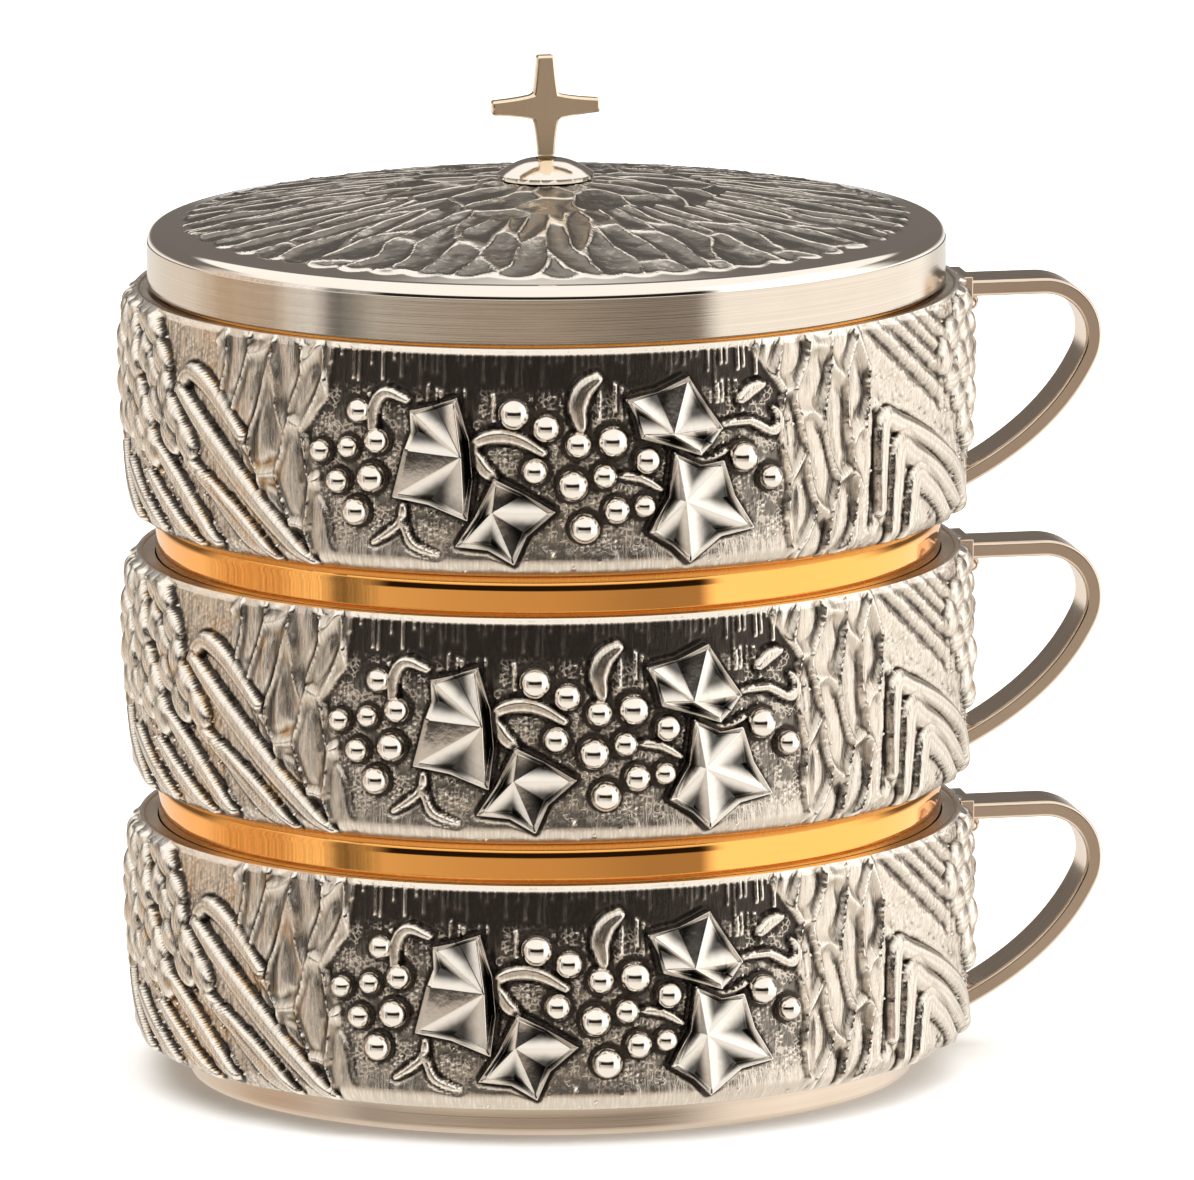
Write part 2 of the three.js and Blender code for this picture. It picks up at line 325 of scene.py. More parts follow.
def relief_silver(colours):
    """Plated relief: its ridges rubbed bright, its plates satin, its hollows darkened, and painted shade
    over the left part of each half band.

    Its UV map is the flat sheet of the relief, with SHEET_UV to the millimetre.
    """
    f = Finish("relief_silver")
    hollow = f.attribute("hollow")
    ground = f.attribute("ground")
    flat = f.node("ShaderNodeUVMap", {"uv_map": "sheet"}).out()
    grain = f.noise(f.placed((260, 36, 1), flat), 1.0, 4.0, 0.6)
    cloud = f.noise(f.coordinates, 60.0)
    patch = f.noise(flat, 34.0, 2.0).between(0.44, 0.54)
    place = f.node("ShaderNodeSeparateXYZ", None, {"Vector": flat})
    across, up = place.out("X"), place.out("Y")
    below_strokes = 1.0 - up.between(0.305, 0.34)
    worms = (1.0 - f.edges(flat, 105.0).between(0.06, 0.2)) * patch * ground * below_strokes
    # painted shade: left picks out the left part of each half band, over the ear and blades; below, the
    # colour there is darkened, towards the amber and tarnish colours
    left = across.between(-1.14, -0.9) * (1.0 - across.between(-0.6, -0.36))
    shade = hollow * 1.6 + (grain - 0.5) * 0.7
    rub = (shade * -1.0).between(-0.1, 0.34)
    shade = shade + left * (0.1 + cloud * 0.32)
    dark = (shade + ground * 0.72 - worms * 0.6).between(0.05, 0.95)
    plate = f.mixed(cloud, tone(colours.satin, 0.9), tone(colours.satin, 1.16))
    worn = f.mixed(rub, plate, tone(colours.silver, 1.06))
    # warm tint in patches, only over the left part of each half band; it colours the half-dark places there,
    # both the darkened hollows and the painted shade
    tint = f.noise(f.coordinates, 110.0).between(0.5, 0.62) * left
    amber = f.mixed(tint, tone(colours.satin, 0.42), tuple(colours.amber))
    brown = f.mixed(dark.between(0.0, 0.55), worn, amber)
    return f.set(
        base_color=f.mixed(dark.between(0.4, 1.0), brown, tuple(colours.tarnish)),
        metallic=1.0 - dark * 0.25,
        roughness=0.22 - rub * 0.1 + cloud * 0.06,
        normal=f.bump(grain * 0.6 + worms * 0.6, 0.0002))


def bright_silver(colours):
    """Burnished silver, for the grapes and the boss."""
    f = Finish("bright_silver")
    cloud = f.noise(f.coordinates, 260.0)
    scratch = f.noise(f.placed((900, 900, 220)), 1.0, 2.0)
    return f.set(
        base_color=f.mixed(cloud, tone(colours.silver, 0.95), tone(colours.silver, 1.08)),
        metallic=1.0,
        roughness=0.07 + cloud * 0.07,
        normal=f.bump(scratch, 0.00002))


def leaf_silver(colours):
    """Silver leaves, darkened towards the bottom of their folds."""
    f = Finish("leaf_silver")
    cloud = f.noise(f.coordinates, 300.0)
    dark = (f.attribute("hollow") + (cloud - 0.5) * 0.3).between(0.12, 0.78)
    return f.set(
        base_color=f.mixed(dark, tone(colours.silver, 0.96), tone(colours.silver, 0.09)),
        metallic=1.0,
        roughness=0.12 + cloud * 0.12,
        normal=f.bump(cloud, 0.00008))


def gilt_polish(colours):
    """Mirror gilding with the faintest turning lines."""
    f = Finish("gilt_polish")
    turning = f.noise(f.placed((12, 12, 2600)), 1.0, 2.0)
    cloud = f.noise(f.coordinates, 45.0)
    return f.set(
        base_color=f.mixed(cloud, tone(colours.gilt, 0.95), tone(colours.gilt, 1.04)),
        metallic=1.0,
        roughness=0.03 + turning * 0.05,
        normal=f.bump(turning, 0.000008))


def brushed(name, colour, rough, scale, depth):
    """Satin plate with fine lines, which run across the direction of the largest scale."""
    f = Finish(name)
    lines = f.noise(f.placed(scale), 1.0, 4.0, 0.6)
    cloud = f.noise(f.coordinates, 70.0)
    shade = (lines * 0.7 + cloud * 0.3).between(0.25, 0.8)
    return f.set(
        base_color=f.mixed(shade, tone(colour, 0.88), tone(colour, 1.08)),
        metallic=1.0,
        roughness=rough + lines * 0.1,
        normal=f.bump(lines, depth))


def dome_silver(colours):
    """Darkened dome with rubbed veins and a smooth margin, from its own two attributes."""
    f = Finish("dome_silver")
    grain = f.noise(f.coordinates, 700.0, 3.0, 0.6)
    cloud = f.noise(f.coordinates, 130.0, 4.0, 0.6)
    field = f.attribute("field")
    vein = (1.0 - (f.attribute("vein") + (cloud - 0.5) * 1.3).between(0.05, 0.42)) * field
    flecks = (grain * 0.4 + cloud * 0.6).between(0.47, 0.66) * 0.48 * field
    worn = (flecks + vein + (1.0 - field) * 0.92).between(0.0, 1.0)
    return f.set(
        base_color=f.mixed(worn, tone(colours.satin, 0.3), tone(colours.silver, 1.04)),
        metallic=1.0,
        roughness=0.06 + field * 0.18 - vein * 0.08,
        normal=f.bump(vein + cloud * 0.5 * field + grain * 0.15 * field, 0.00032))


MAKERS = {
    "relief_silver": relief_silver,
    "bright_silver": bright_silver,
    "leaf_silver": leaf_silver,
    "gilt_polish": gilt_polish,
    "dome_silver": dome_silver,
    "lid_satin": lambda c: brushed("lid_satin", tuple(c.satin), 0.05, (14, 14, 4200), 0.000012),
    "foot_satin": lambda c: brushed("foot_satin", tone(c.champagne, 1.12), 0.24, (14, 14, 5200), 0.00003),
    "strap_satin": lambda c: brushed("strap_satin", tone(c.champagne, 1.38), 0.1, (40, 4200, 40), 0.00002),
    "cross_satin": lambda c: brushed("cross_satin", tuple(c.cross), 0.13, (3600, 60, 60), 0.000015),
    "plain_brass": lambda c: brushed("plain_brass", tuple(c.brass), 0.3, (30, 30, 2200), 0.00003),
}


def material(name):
    """The named material, made the first time that it is asked for."""
    found = bpy.data.materials.get(name)
    return found or MAKERS[name](bpy.context.scene.ciborium_colours)


# ---- Mesh tools ----

def settled(name, bm):
    """A mesh with what a bmesh holds, which is then freed."""
    mesh = bpy.data.meshes.new(name)
    bm.to_mesh(mesh)
    bm.free()
    return mesh


def points_of(mesh):
    """The places of a mesh's points, as rows of three."""
    places = np.zeros(len(mesh.vertices) * 3)
    mesh.vertices.foreach_get("co", places)
    return places.reshape(-1, 3)


def mark(mesh, name, values):
    """Writes one number for each point of a mesh, for its material to read."""
    mesh.attributes.new(name, "FLOAT", "POINT").data.foreach_set("value", values.astype(np.float32))


def add_piece(name, bm, body, finish, replaced=(), sharp=35):
    """Turns a bmesh into a finished object that rides on its body."""
    return add_mesh(name, settled(name, bm), body, finish, replaced, sharp)


def add_mesh(name, mesh, body, finish, replaced=(), sharp=35):
    """Links a mesh as an object, with its finish, its body and the nodes that it stands for."""
    mesh.shade_smooth()
    mesh.set_sharp_from_angle(angle=math.radians(sharp))
    mesh.materials.append(material(finish))
    piece = bpy.data.objects.new(name, mesh)
    bpy.context.scene.collection.objects.link(piece)
    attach(piece, body)
    if replaced:
        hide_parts(*replaced)
    return piece


def soften(piece, width, segments=3):
    """Rounds the sharp edges of a piece."""
    bevel = piece.modifiers.new("soft_edges", "BEVEL")
    bevel.width = width
    bevel.segments = segments
    bevel.limit_method = "ANGLE"
    bevel.angle_limit = math.radians(40)
    return piece


def spin_profile(corners, steps=RING_STEPS, angle=2 * math.pi, start=0.0, closed=True):
    """Spins a line of (radius, height) corners round the Z axis, and caps a part turn."""
    bm = bmesh.new()
    points = [bm.verts.new((r * math.cos(start), r * math.sin(start), z)) for r, z in corners]
    for first, second in zip(points, points[1:]):
        bm.edges.new((first, second))
    if closed:
        bm.edges.new((points[-1], points[0]))
    whole = abs(angle) > 2 * math.pi - 1e-6
    about = {"cent": (0, 0, 0), "axis": (0, 0, 1)}
    bmesh.ops.spin(bm, geom=bm.verts[:] + bm.edges[:], angle=angle / SLICES, steps=steps // SLICES,
                   use_merge=False, use_duplicate=False, **about)
    bmesh.ops.spin(bm, geom=bm.verts[:] + bm.edges[:] + bm.faces[:], angle=angle * (SLICES - 1) / SLICES,
                   steps=SLICES - 1, use_merge=False, use_duplicate=True, **about)
    bmesh.ops.remove_doubles(bm, verts=bm.verts[:], dist=2e-6)
    if not whole:
        bmesh.ops.holes_fill(bm, edges=[e for e in bm.edges if e.is_boundary], sides=0)
    bmesh.ops.recalc_face_normals(bm, faces=bm.faces[:])
    return bm


def thicken(bm, depth):
    """Extrudes a flat shape by depth along Y, and closes it."""
    grown = bmesh.ops.extrude_face_region(bm, geom=bm.faces[:])["geom"]
    moved = [v for v in grown if isinstance(v, bmesh.types.BMVert)]
    bmesh.ops.translate(bm, verts=moved, vec=(0, depth, 0))
    bmesh.ops.recalc_face_normals(bm, faces=bm.faces[:])
    return bm


def arc(centre, size, first, last, steps):
    """Points on part of a circle, with its angles in degrees."""
    angles = [math.radians(first + (last - first) * k / steps) for k in range(steps + 1)]
    return [(centre[0] + size * math.cos(a), centre[1] + size * math.sin(a)) for a in angles]


def pulled(start, pull, end, steps=10):
    """A curve from start to end, drawn towards pull, without its first point."""
    curve = []
    for k in range(1, steps + 1):
        t = k / steps
        curve.append(tuple((1 - t) ** 2 * a + 2 * t * (1 - t) * b + t * t * c
                           for a, b, c in zip(start, pull, end)))
    return curve


# ---- The flat sheet of the relief ----

SHEET_STEP = 0.25              # spacing of the sheet's grid, in millimetres
SHEET_HALF = math.pi * BAND_OUT / MM / 2
SHEET_TALL = BAND_TALL / MM
SHEET_UV = 0.01                # a millimetre of the sheet in its UV map
GROUND_DEPTH = 0.6             # how far the ground lies under the plain band, in millimetres


def ease(bottom, top, value):
    """0 below bottom, 1 above top, and smooth from one to the other."""
    share = np.clip((value - bottom) / (top - bottom), 0, 1)
    return share * share * (3 - 2 * share)


def chance(first, second, seed):
    """A fixed number from 0 to 1 for each pair of whole numbers."""
    wave = np.sin(first * 127.1 + second * 311.7 + seed * 74.7) * 43758.5453
    return wave - np.floor(wave)


def ripple(across, up, seed):
    """Smooth noise from 0 to 1, one hump to each whole step."""
    column, row = np.floor(across), np.floor(up)
    u = ease(0, 1, across - column)
    v = ease(0, 1, up - row)
    bottom = chance(column, row, seed) * (1 - u) + chance(column + 1, row, seed) * u
    top = chance(column, row + 1, seed) * (1 - u) + chance(column + 1, row + 1, seed) * u
    return bottom * (1 - v) + top * v


def cells(across, up, wide, tall, seed):
    """Leaf-shaped cells in staggered columns.

    Gives each point's distance from a border, its cell's number and its offset from the cell's middle.
    """
    u, v = across / wide, up / tall
    nearest = np.full(u.shape, 9.0)
    second = np.full(u.shape, 9.0)
    number = np.zeros(u.shape)
    offset = np.zeros(u.shape)
    for column_step in (-1, 0, 1):
        column = np.floor(u) + column_step
        stagger = 0.5 * np.mod(column, 2)
        for row_step in (-1, 0, 1):
            row = np.floor(v - stagger) + row_step
            seed_u = column + 0.5 + 0.55 * (chance(column, row, seed) - 0.5)
            seed_v = row + stagger + 0.5 + 0.6 * (chance(column, row, seed + 3) - 0.5)
            distance = np.hypot(u - seed_u, v - seed_v)
            closer = distance < nearest
            second = np.where(closer, nearest, np.minimum(second, distance))
            number = np.where(closer, chance(column, row, seed + 9), number)
            offset = np.where(closer, (u - seed_u) * wide, offset)
            nearest = np.where(closer, distance, nearest)
    return (second - nearest) * wide / 2, number, offset


def bend(points, steps=6):
    """An easy curve through the points."""
    padded = [points[0], *points, points[-1]]
    line = []
    for k in range(1, len(padded) - 2):
        before, start, end, after = (np.array(p, float) for p in padded[k - 1:k + 3])
        for step in range(steps):
            t = step / steps
            line.append(0.5 * (2 * start + (end - before) * t
                               + (2 * before - 5 * start + 4 * end - after) * t * t
                               + (3 * start - before - 3 * end + after) * t ** 3))
    line.append(np.array(points[-1], float))
    return line


def from_line(s, h, line):
    """Each point's distance from a line, its share of the way along, and its signed side."""
    best = np.full(s.shape, 1e6)
    share = np.zeros(s.shape)
    side = np.zeros(s.shape)
    for k, (start, end) in enumerate(zip(line, line[1:])):
        run = end - start
        length = max(float(run @ run), 1e-9)
        t = np.clip(((s - start[0]) * run[0] + (h - start[1]) * run[1]) / length, 0, 1)
        away_s = s - start[0] - t * run[0]
        away_h = h - start[1] - t * run[1]
        distance = np.hypot(away_s, away_h)
        closer = distance < best
        best = np.where(closer, distance, best)
        share = np.where(closer, (k + t) / (len(line) - 1), share)
        side = np.where(closer, np.sign(run[0] * away_h - run[1] * away_s), side)
    return best, share, side


def inside(s, h, outline):
    """Signed distance from a closed outline: positive inside it."""
    closed = [np.array(p, float) for p in (*outline, outline[0])]
    distance = from_line(s, h, closed)[0]
    crossings = np.zeros(s.shape, bool)
    for start, end in zip(closed, closed[1:]):
        spans = (start[1] > h) != (end[1] > h)
        rise = end[1] - start[1] or 1e-9
        crossings ^= spans & (s < start[0] + (h - start[1]) * (end[0] - start[0]) / rise)
    return np.where(crossings, distance, -distance)


def dome_over(distance, half, tall):
    """A rounded rise of the given half width."""
    return tall * np.sqrt(np.clip(1 - (distance / half) ** 2, 0, 1))


# Ornaments, in millimetres along the band from the middle of its front, and up from its foot.
# Each grape is its middle and its radius.

GRAPES = [
    (-33.5, 28.5, 2.2), (-41, 21, 2.0), (-35.5, 22, 2.0), (-30, 23.5, 2.3), (-37.5, 16, 2.15),
    (-31, 17, 2.6), (-34, 11, 2.5),
    (-5.5, 29, 2.8), (0, 26.5, 2.5), (5.5, 23.5, 2.4), (11.5, 24, 2.8), (17.5, 20.5, 2.4),
    (-2, 19, 2.4), (4.5, 16.5, 2.8), (10, 18, 2.25), (12, 12, 2.4), (17, 12.5, 2.05), (6.5, 9, 2.7),
    (35, 20, 2.7), (40.5, 16, 2.2),
]

# Each leaf: its middle, then its outline, with True at the tips and False at the dips.
LEAVES = [
    ((-14.5, 21.5), [(-13.2, 24.5, False), (-15.3, 31.7, True), (-19.5, 30.2, False), (-23.7, 29.2, True),
                     (-23.4, 25.5, False), (-24.6, 22.5, True), (-26.8, 14, True),
                     (-20.3, 13, False), (-13.5, 10.3, True), (-12.6, 17.5, False)]),
    ((-9.2, 12), [(-9, 17.8, True), (-4, 15.3, False), (1.5, 12, True), (-3.4, 7.8, False),
                  (-5.6, 2.7, True), (-10, 5.3, False), (-15.7, 5.8, True), (-12.3, 11, False)]),
    ((21.8, 25), [(13.6, 31.3, True), (19.3, 32.4, False), (24.9, 34.8, True), (28, 29.7, False),
                  (30.9, 25.4, True), (28.8, 22.8, False), (26.8, 20.9, True), (21.5, 22.8, False),
                  (16.2, 24.4, True), (15.4, 28, False)]),
    ((23.8, 13.2), [(22, 21.8, True), (26.8, 19.3, False), (31, 19.8, True), (33, 13.5, False),
                    (36.7, 7.6, True), (30.4, 6.6, False), (24.7, 2.3, True), (21.7, 5.4, False),
                    (17.5, 8, True), (21, 14, False)]),
]

# Stems and tendrils: the line, half width and rise.
STEMS = [
    ([(-13, 23.3), (-10.5, 24.6), (-7.3, 25), (-4.2, 24.2), (-0.6, 22.1)], 1.4, 1.1),
    ([(-12.8, 22.3), (-11.3, 19.6), (-9, 17.5)], 1.4, 0.9),
    ([(8.8, 34.8), (6.6, 33), (5.5, 29.9), (6, 26.5)], 1.9, 1.3),
    ([(12.8, 17.8), (16.3, 17.3), (20.1, 15.1)], 0.8, 0.8),
    ([(21.5, 23), (25.7, 20.3), (28.5, 19.6), (32, 21.4)], 0.85, 1.2),
    ([(-31, 25), (-30.7, 29.5), (-28.5, 31.9), (-24.6, 30.7)], 1.15, 1.0),
    ([(35.1, 29.8), (37.2, 31.4), (39.4, 32.2)], 1.3, 1.1),
    ([(31.6, 25.7), (36.6, 26), (41.5, 23.8), (42.8, 26.1), (41.8, 27.8)], 0.85, 0.9),
    ([(-25.4, 12.6), (-26.2, 9.1), (-31, 5.6)], 0.8, 0.7),
    ([(-25.5, 9.6), (-23.8, 5.7), (-19.4, 4)], 0.8, 0.7),
]

# Long leaf blades at the left, with their half width and rise.
BLADES = [
    ([(-77, 27.5), (-73.5, 31), (-66.7, 28.4), (-58.7, 21.6)], 1.35, 1.25),
    ([(-76.2, 27.5), (-64, 18), (-54, 9.6), (-43, 0.8)], 1.5, 1.45),
    ([(-85.2, 16.2), (-76.5, 10.6), (-65.4, 2)], 1.25, 1.15),
    ([(-73.7, 15.4), (-61, 8.2), (-51, 0.8)], 1.2, 1.1),
    ([(-89.2, 10.9), (-80.4, 5.7), (-71, 1)], 1.15, 1.05),
    ([(-102, 11), (-92.8, 6), (-83.3, 2)], 1.15, 1.0),
    ([(-112, 12.5), (-104, 6.5), (-95, 2)], 1.15, 1.0),
    ([(-69.9, 13.4), (-59, 4.8), (-52, 0)], 0.8, 0.8),
]

# Folded blades at the right: each rises to a point and falls away, with its half width and rise.
FOLDS = [
    ([(66.5, 7), (66.8, 15), (68, 22.6), (72.5, 21.4), (84.3, 16.4), (98, 9), (103.5, 1)], 1.9, 1.1),
    ([(69.8, 1), (71, 9), (72.6, 17.4), (76.5, 15.6), (86, 11), (96.5, 4)], 2.3, 1.0),
    ([(75.2, 1), (76.4, 6), (78.2, 11.4), (81.2, 9.9), (86, 6.8), (92.5, 1)], 2.1, 0.85),
]

# Grooves at the right, with their depth: five slant down from the top edge, one runs beside the folds.
GROOVES = [
    ([(62, 41), (75.5, 31), (89, 22.5)], 0.55),
    ([(67.5, 41), (79, 33.3), (89.5, 26.8)], 0.55),
    ([(73, 41), (82.5, 35), (91, 30)], 0.5),
    ([(79, 41), (86, 36.2), (92, 32.5)], 0.5),
    ([(85, 41), (90, 38), (95, 35.5)], 0.5),
    ([(65.6, 24), (64.8, 15), (64, 5)], 0.75),
]

# The middles of the ears' grains, row by row.
EAR_LEFT = [(-88 + 3.3 * i - 6.0 * j, 36.5 - 4.5 * i - 1.2 * j + 2.2 * (j % 2))
            for j in range(6) for i in range(-1, 6)]
EAR_RIGHT = [(90.5 + 4.2 * i + 6.4 * j, 30 - 3.9 * i + 3.4 * j) for j in range(4) for i in range(7)]
EAR_FOOT = 15                  # the blades run out from under the ear below this height


def bark(s, h):
    """Slender plates of bark: thin raised borders, a ditch along one edge and a fine upright grain."""
    sway = 1.3 * np.sin(0.19 * h + 0.05 * s) + 2.2 * (ripple(s / 8, h / 7, 4) - 0.5)
    border, number, offset = cells(s + sway, h + 6 * (ripple(s / 5, h / 20, 8) - 0.5), 5.4, 15.0, 2)
    rim = 0.75 * np.exp(-(border / 0.34) ** 2)
    ditch = (0.14 + 0.24 * ease(-0.5, 1.2, offset)) * np.exp(-((border - 0.8) / 0.38) ** 2)
    plate = 0.30 * ease(0.6, 2.4, border) * (0.5 + number) - 0.10 * offset
    grain = 0.10 * (ripple(s / 0.8, h / 5.5, 5) - 0.5) + 0.07 * (ripple(s / 0.45, h / 2.5, 6) - 0.5)
    wrinkle = 0.34 * (ripple(s / 1.5, h / 6.5, 9) - 0.5) * (number > 0.35)
    return rim + plate + grain + wrinkle - ditch - 0.1


def strokes(s, h, pitch, seed, foot, top, share):
    """Upright strokes of uneven width and place, between a foot and a top height for each."""
    index = np.floor(s / pitch)
    place = (index + 0.5 + 0.4 * (chance(index, 4, seed) - 0.5)) * pitch
    half = pitch * (0.22 + 0.16 * chance(index, 5, seed))
    body = dome_over(np.abs(s - place), half, 1.0)
    body = body * ease(foot(index) - 0.3, foot(index) + 0.3, h) * (1 - ease(top(index), top(index) + 0.4, h))
    return body * (chance(index, 6, seed) < share)


def grape_ground(s, h):
    """Tooled ground: strokes that hang and strokes that stand, stipple, and a hatched foot."""
    sway = s + 0.5 * (ripple(h / 5, s / 9, 3) - 0.5)
    hanging = strokes(sway, h, 1.15, 5, lambda i: SHEET_TALL - 2.0 - 5.6 * chance(i, 0, 5) ** 1.5,
                      lambda i: SHEET_TALL, 0.72)
    hanging = hanging * (0.3 + 0.7 * ease(20, 32, np.abs(s)))
    crest = 30.5 + 4.2 * ripple(s / 5.5, 0, 6)
    bars = strokes(sway, h, 1.25, 7, lambda i: 27 + 3.2 * chance(i, 2, 8),
                   lambda i: crest - 1.2 * chance(i, 1, 7), 0.7)
    bars = bars * ease(0.3, 0.38, ripple(s / 6 + 20, 0, 16))
    pebble = cells(s, h, 0.95, 1.0, 12)[0]
    stipple = 0.3 * ease(0.05, 0.4, pebble) * ease(0.35, 0.6, ripple(s / 3.2, h / 2.6, 13))
    stipple = stipple * (1 - ease(31, 34, h)) * ease(3, 7, h)
    hatch = 0.2 * (ripple(s / 0.95, h / 3.2, 14) - 0.3) * (1 - ease(5, 9, h))
    lifted = 0.42 * (1 - ease(3.0, 6.5, h))
    return -0.66 + 0.5 * np.maximum(hanging, bars) + stipple + hatch + lifted


def stippled(s, h):
    """Plain patches with shallow punch marks."""
    pebble = cells(s, h, 1.1, 1.1, 21)[0]
    marks = 0.16 * (1 - ease(0.1, 0.5, pebble)) * (ripple(s / 2, h / 2, 22) > 0.4)
    fine = 0.3 * (ripple(s / 1.1, h / 1.9, 23) - 0.5)
    coarse = 0.16 * (ripple(s / 3.1, h / 4.5, 24) - 0.5)
    return -0.25 - marks + fine + coarse


def ribbon(s, h, points, half, tall):
    """A long blade: two soft folds with a crease between, pointed at its ends."""
    distance, share, side = from_line(s, h, bend(points))
    width = half * (0.45 + 0.55 * np.sin(np.pi * np.clip(0.12 + 0.8 * share, 0, 1)))
    crease = 0.18 * np.exp(-(distance / 0.3) ** 2)
    moat = -0.3 * np.exp(-((distance - width - 0.25) / 0.32) ** 2)
    rise = dome_over(distance, width, tall) * (1 + 0.15 * side * np.minimum(distance / width, 1))
    return np.where(distance < width, np.maximum(rise - crease, 0.0), moat), distance < width


def lay(sheet, rise, covered, over=0.0):
    """Lays a raised ornament over the sheet: a moat is cut where it doesn't cover."""
    return np.where(covered, np.maximum(sheet, rise + over), sheet + np.minimum(rise, 0))


def kernel(s, h, centre, lean, half, length, tall):
    """A drop-shaped grain, pointed at its upper end, with a crease down it."""
    along = (s - centre[0]) * math.sin(lean) + (h - centre[1]) * math.cos(lean)
    across = (s - centre[0]) * math.cos(lean) - (h - centre[1]) * math.sin(lean)
    share = np.clip(along / length, -1, 1)
    width = 1.1 * half * (1 - share) ** 0.62 * (1 + share) ** 0.42 + 0.01
    body = np.clip(1 - (across / width) ** 2, 0, 1)
    rise = tall * np.sqrt(body) * (0.45 + 0.55 * np.clip(1 - share ** 2, 0, 1))
    return rise - 0.16 * np.exp(-(across / 0.28) ** 2) * (body > 0.1)


def grains(s, h, centres, lean, half, length, tall):
    """An ear of grains, each a little out of its place, its lean and its height."""
    rise = np.full(s.shape, -1.0)
    for k, (x, y) in enumerate(centres):
        shift = [float(chance(k, part, 2)) for part in range(4)]
        spot = (x + 1.6 * (shift[0] - 0.5), y + 1.6 * (shift[1] - 0.5))
        own_lean = math.radians(lean * 1.4 * shift[2])
        found = kernel(s, h, spot, own_lean, half, length, tall * (0.8 + 0.4 * shift[3]))
        rise = np.maximum(rise, np.where(found > 0.05, found, -1.0))
    return rise


def left_field(s, h):
    """How much a point belongs to the ear and blades at the left."""
    edge = np.interp(h, [0, 2.5, 12, 22, 30, 42], [-44, -46, -56, -61, -66, -66.5])
    return ease(-0.4, 0.4, edge - s)


def right_field(s, h):
    """How much a point belongs to the folded blades and grains at the right."""
    edge = np.interp(h, [0, 4, 26, 31, 42], [59.5, 60.5, 63.5, 65, 61.5])
    return ease(-0.4, 0.4, s - edge)


def ground_field(s, h):
    """How much a point belongs to the ground behind the grapes."""
    ragged = 1.6 * (ripple(h / 3.5, s / 40, 31) - 0.5)
    left = np.interp(h, [0, 3, 17, 24, 30, 42], [-38, -38.5, -41.5, -44.5, -39.5, -39.5])
    right = np.interp(h, [0, 9, 20, 30, 42], [45, 44, 43.5, 43, 35])
    return ease(-0.5, 0.5, s - left - ragged) * ease(-0.5, 0.5, right + ragged - s)


def lay_ear(sheet, s, h):
    """The ear and its blades at the left, and the folded blades and grains at the right."""
    for points, half, tall in BLADES:
        sheet = lay(sheet, *ribbon(s, h, points, 1.3 * half, 1.15 * tall))
    for points, depth in GROOVES:
        distance = from_line(s, h, bend(points))[0]
        sheet = sheet - depth * np.exp(-(distance / 0.55) ** 2)
        sheet = sheet + 0.45 * depth * np.exp(-((distance - 1.7) / 1.1) ** 2)
    for points, half, tall in FOLDS:
        sheet = lay(sheet, *ribbon(s, h, points, half, tall))
    ear = [(x, y) for x, y in EAR_LEFT if y > EAR_FOOT]
    left = grains(s, h, ear, -34, 2.0, 4.1, 2.2)
    sheet = np.where(left > 0, np.maximum(left, sheet), sheet)
    beads = [(x, y) for x, y in EAR_RIGHT if y > 0.75 * EAR_FOOT]
    right = grains(s, h, beads, 60, 2.4, 3.3, 1.8)
    return np.where(right > 0, np.maximum(right, sheet), sheet)


def lay_vine(sheet, s, h):
    """Stems and tendrils, and a hollow round each grape."""
    for x, y, size in GRAPES:
        distance = np.hypot(s - x, h - y)
        sheet = sheet - 0.35 * np.exp(-((distance - size) / 0.45) ** 2)
    for points, half, tall in STEMS:
        sheet = lay(sheet, *ribbon(s, h, points, half, tall), over=-0.15)
    return sheet


def blurred(values, reach):
    """The sheet with each point averaged over its neighbours."""
    steps = max(1, int(round(reach / SHEET_STEP)))
    weights = np.exp(-np.linspace(-2, 2, 4 * steps + 1) ** 2)
    weights = weights / weights.sum()
    pad = 2 * steps
    wide = np.pad(values, ((0, 0), (pad, pad)), mode="edge")
    wide = np.apply_along_axis(np.convolve, 1, wide, weights, "valid")
    tall = np.pad(wide, ((pad, pad), (0, 0)), mode="edge")
    return np.apply_along_axis(np.convolve, 0, tall, weights, "valid")


def carve_round(rise, s, h):
    """Cuts a bed for every leaf, and gives the height of all that stands, grapes and leaves too."""
    standing = rise.copy()
    for middle, outline in LEAVES:
        depth = inside(s, h, [(x, y) for x, y, tip in outline])
        standing = np.where(depth > 0, np.maximum(standing, 1.2), standing)
        rise = rise - 0.45 * np.exp(-((depth + 0.3) / 0.5) ** 2)
        rise = np.where(depth > 0.3, np.minimum(rise, -0.5), rise)
    for x, y, size in GRAPES:
        distance = np.hypot(s - x, h - y)
        standing = np.maximum(standing, dome_over(distance, size, 1.2 * size) - GROUND_DEPTH)
    return rise, standing


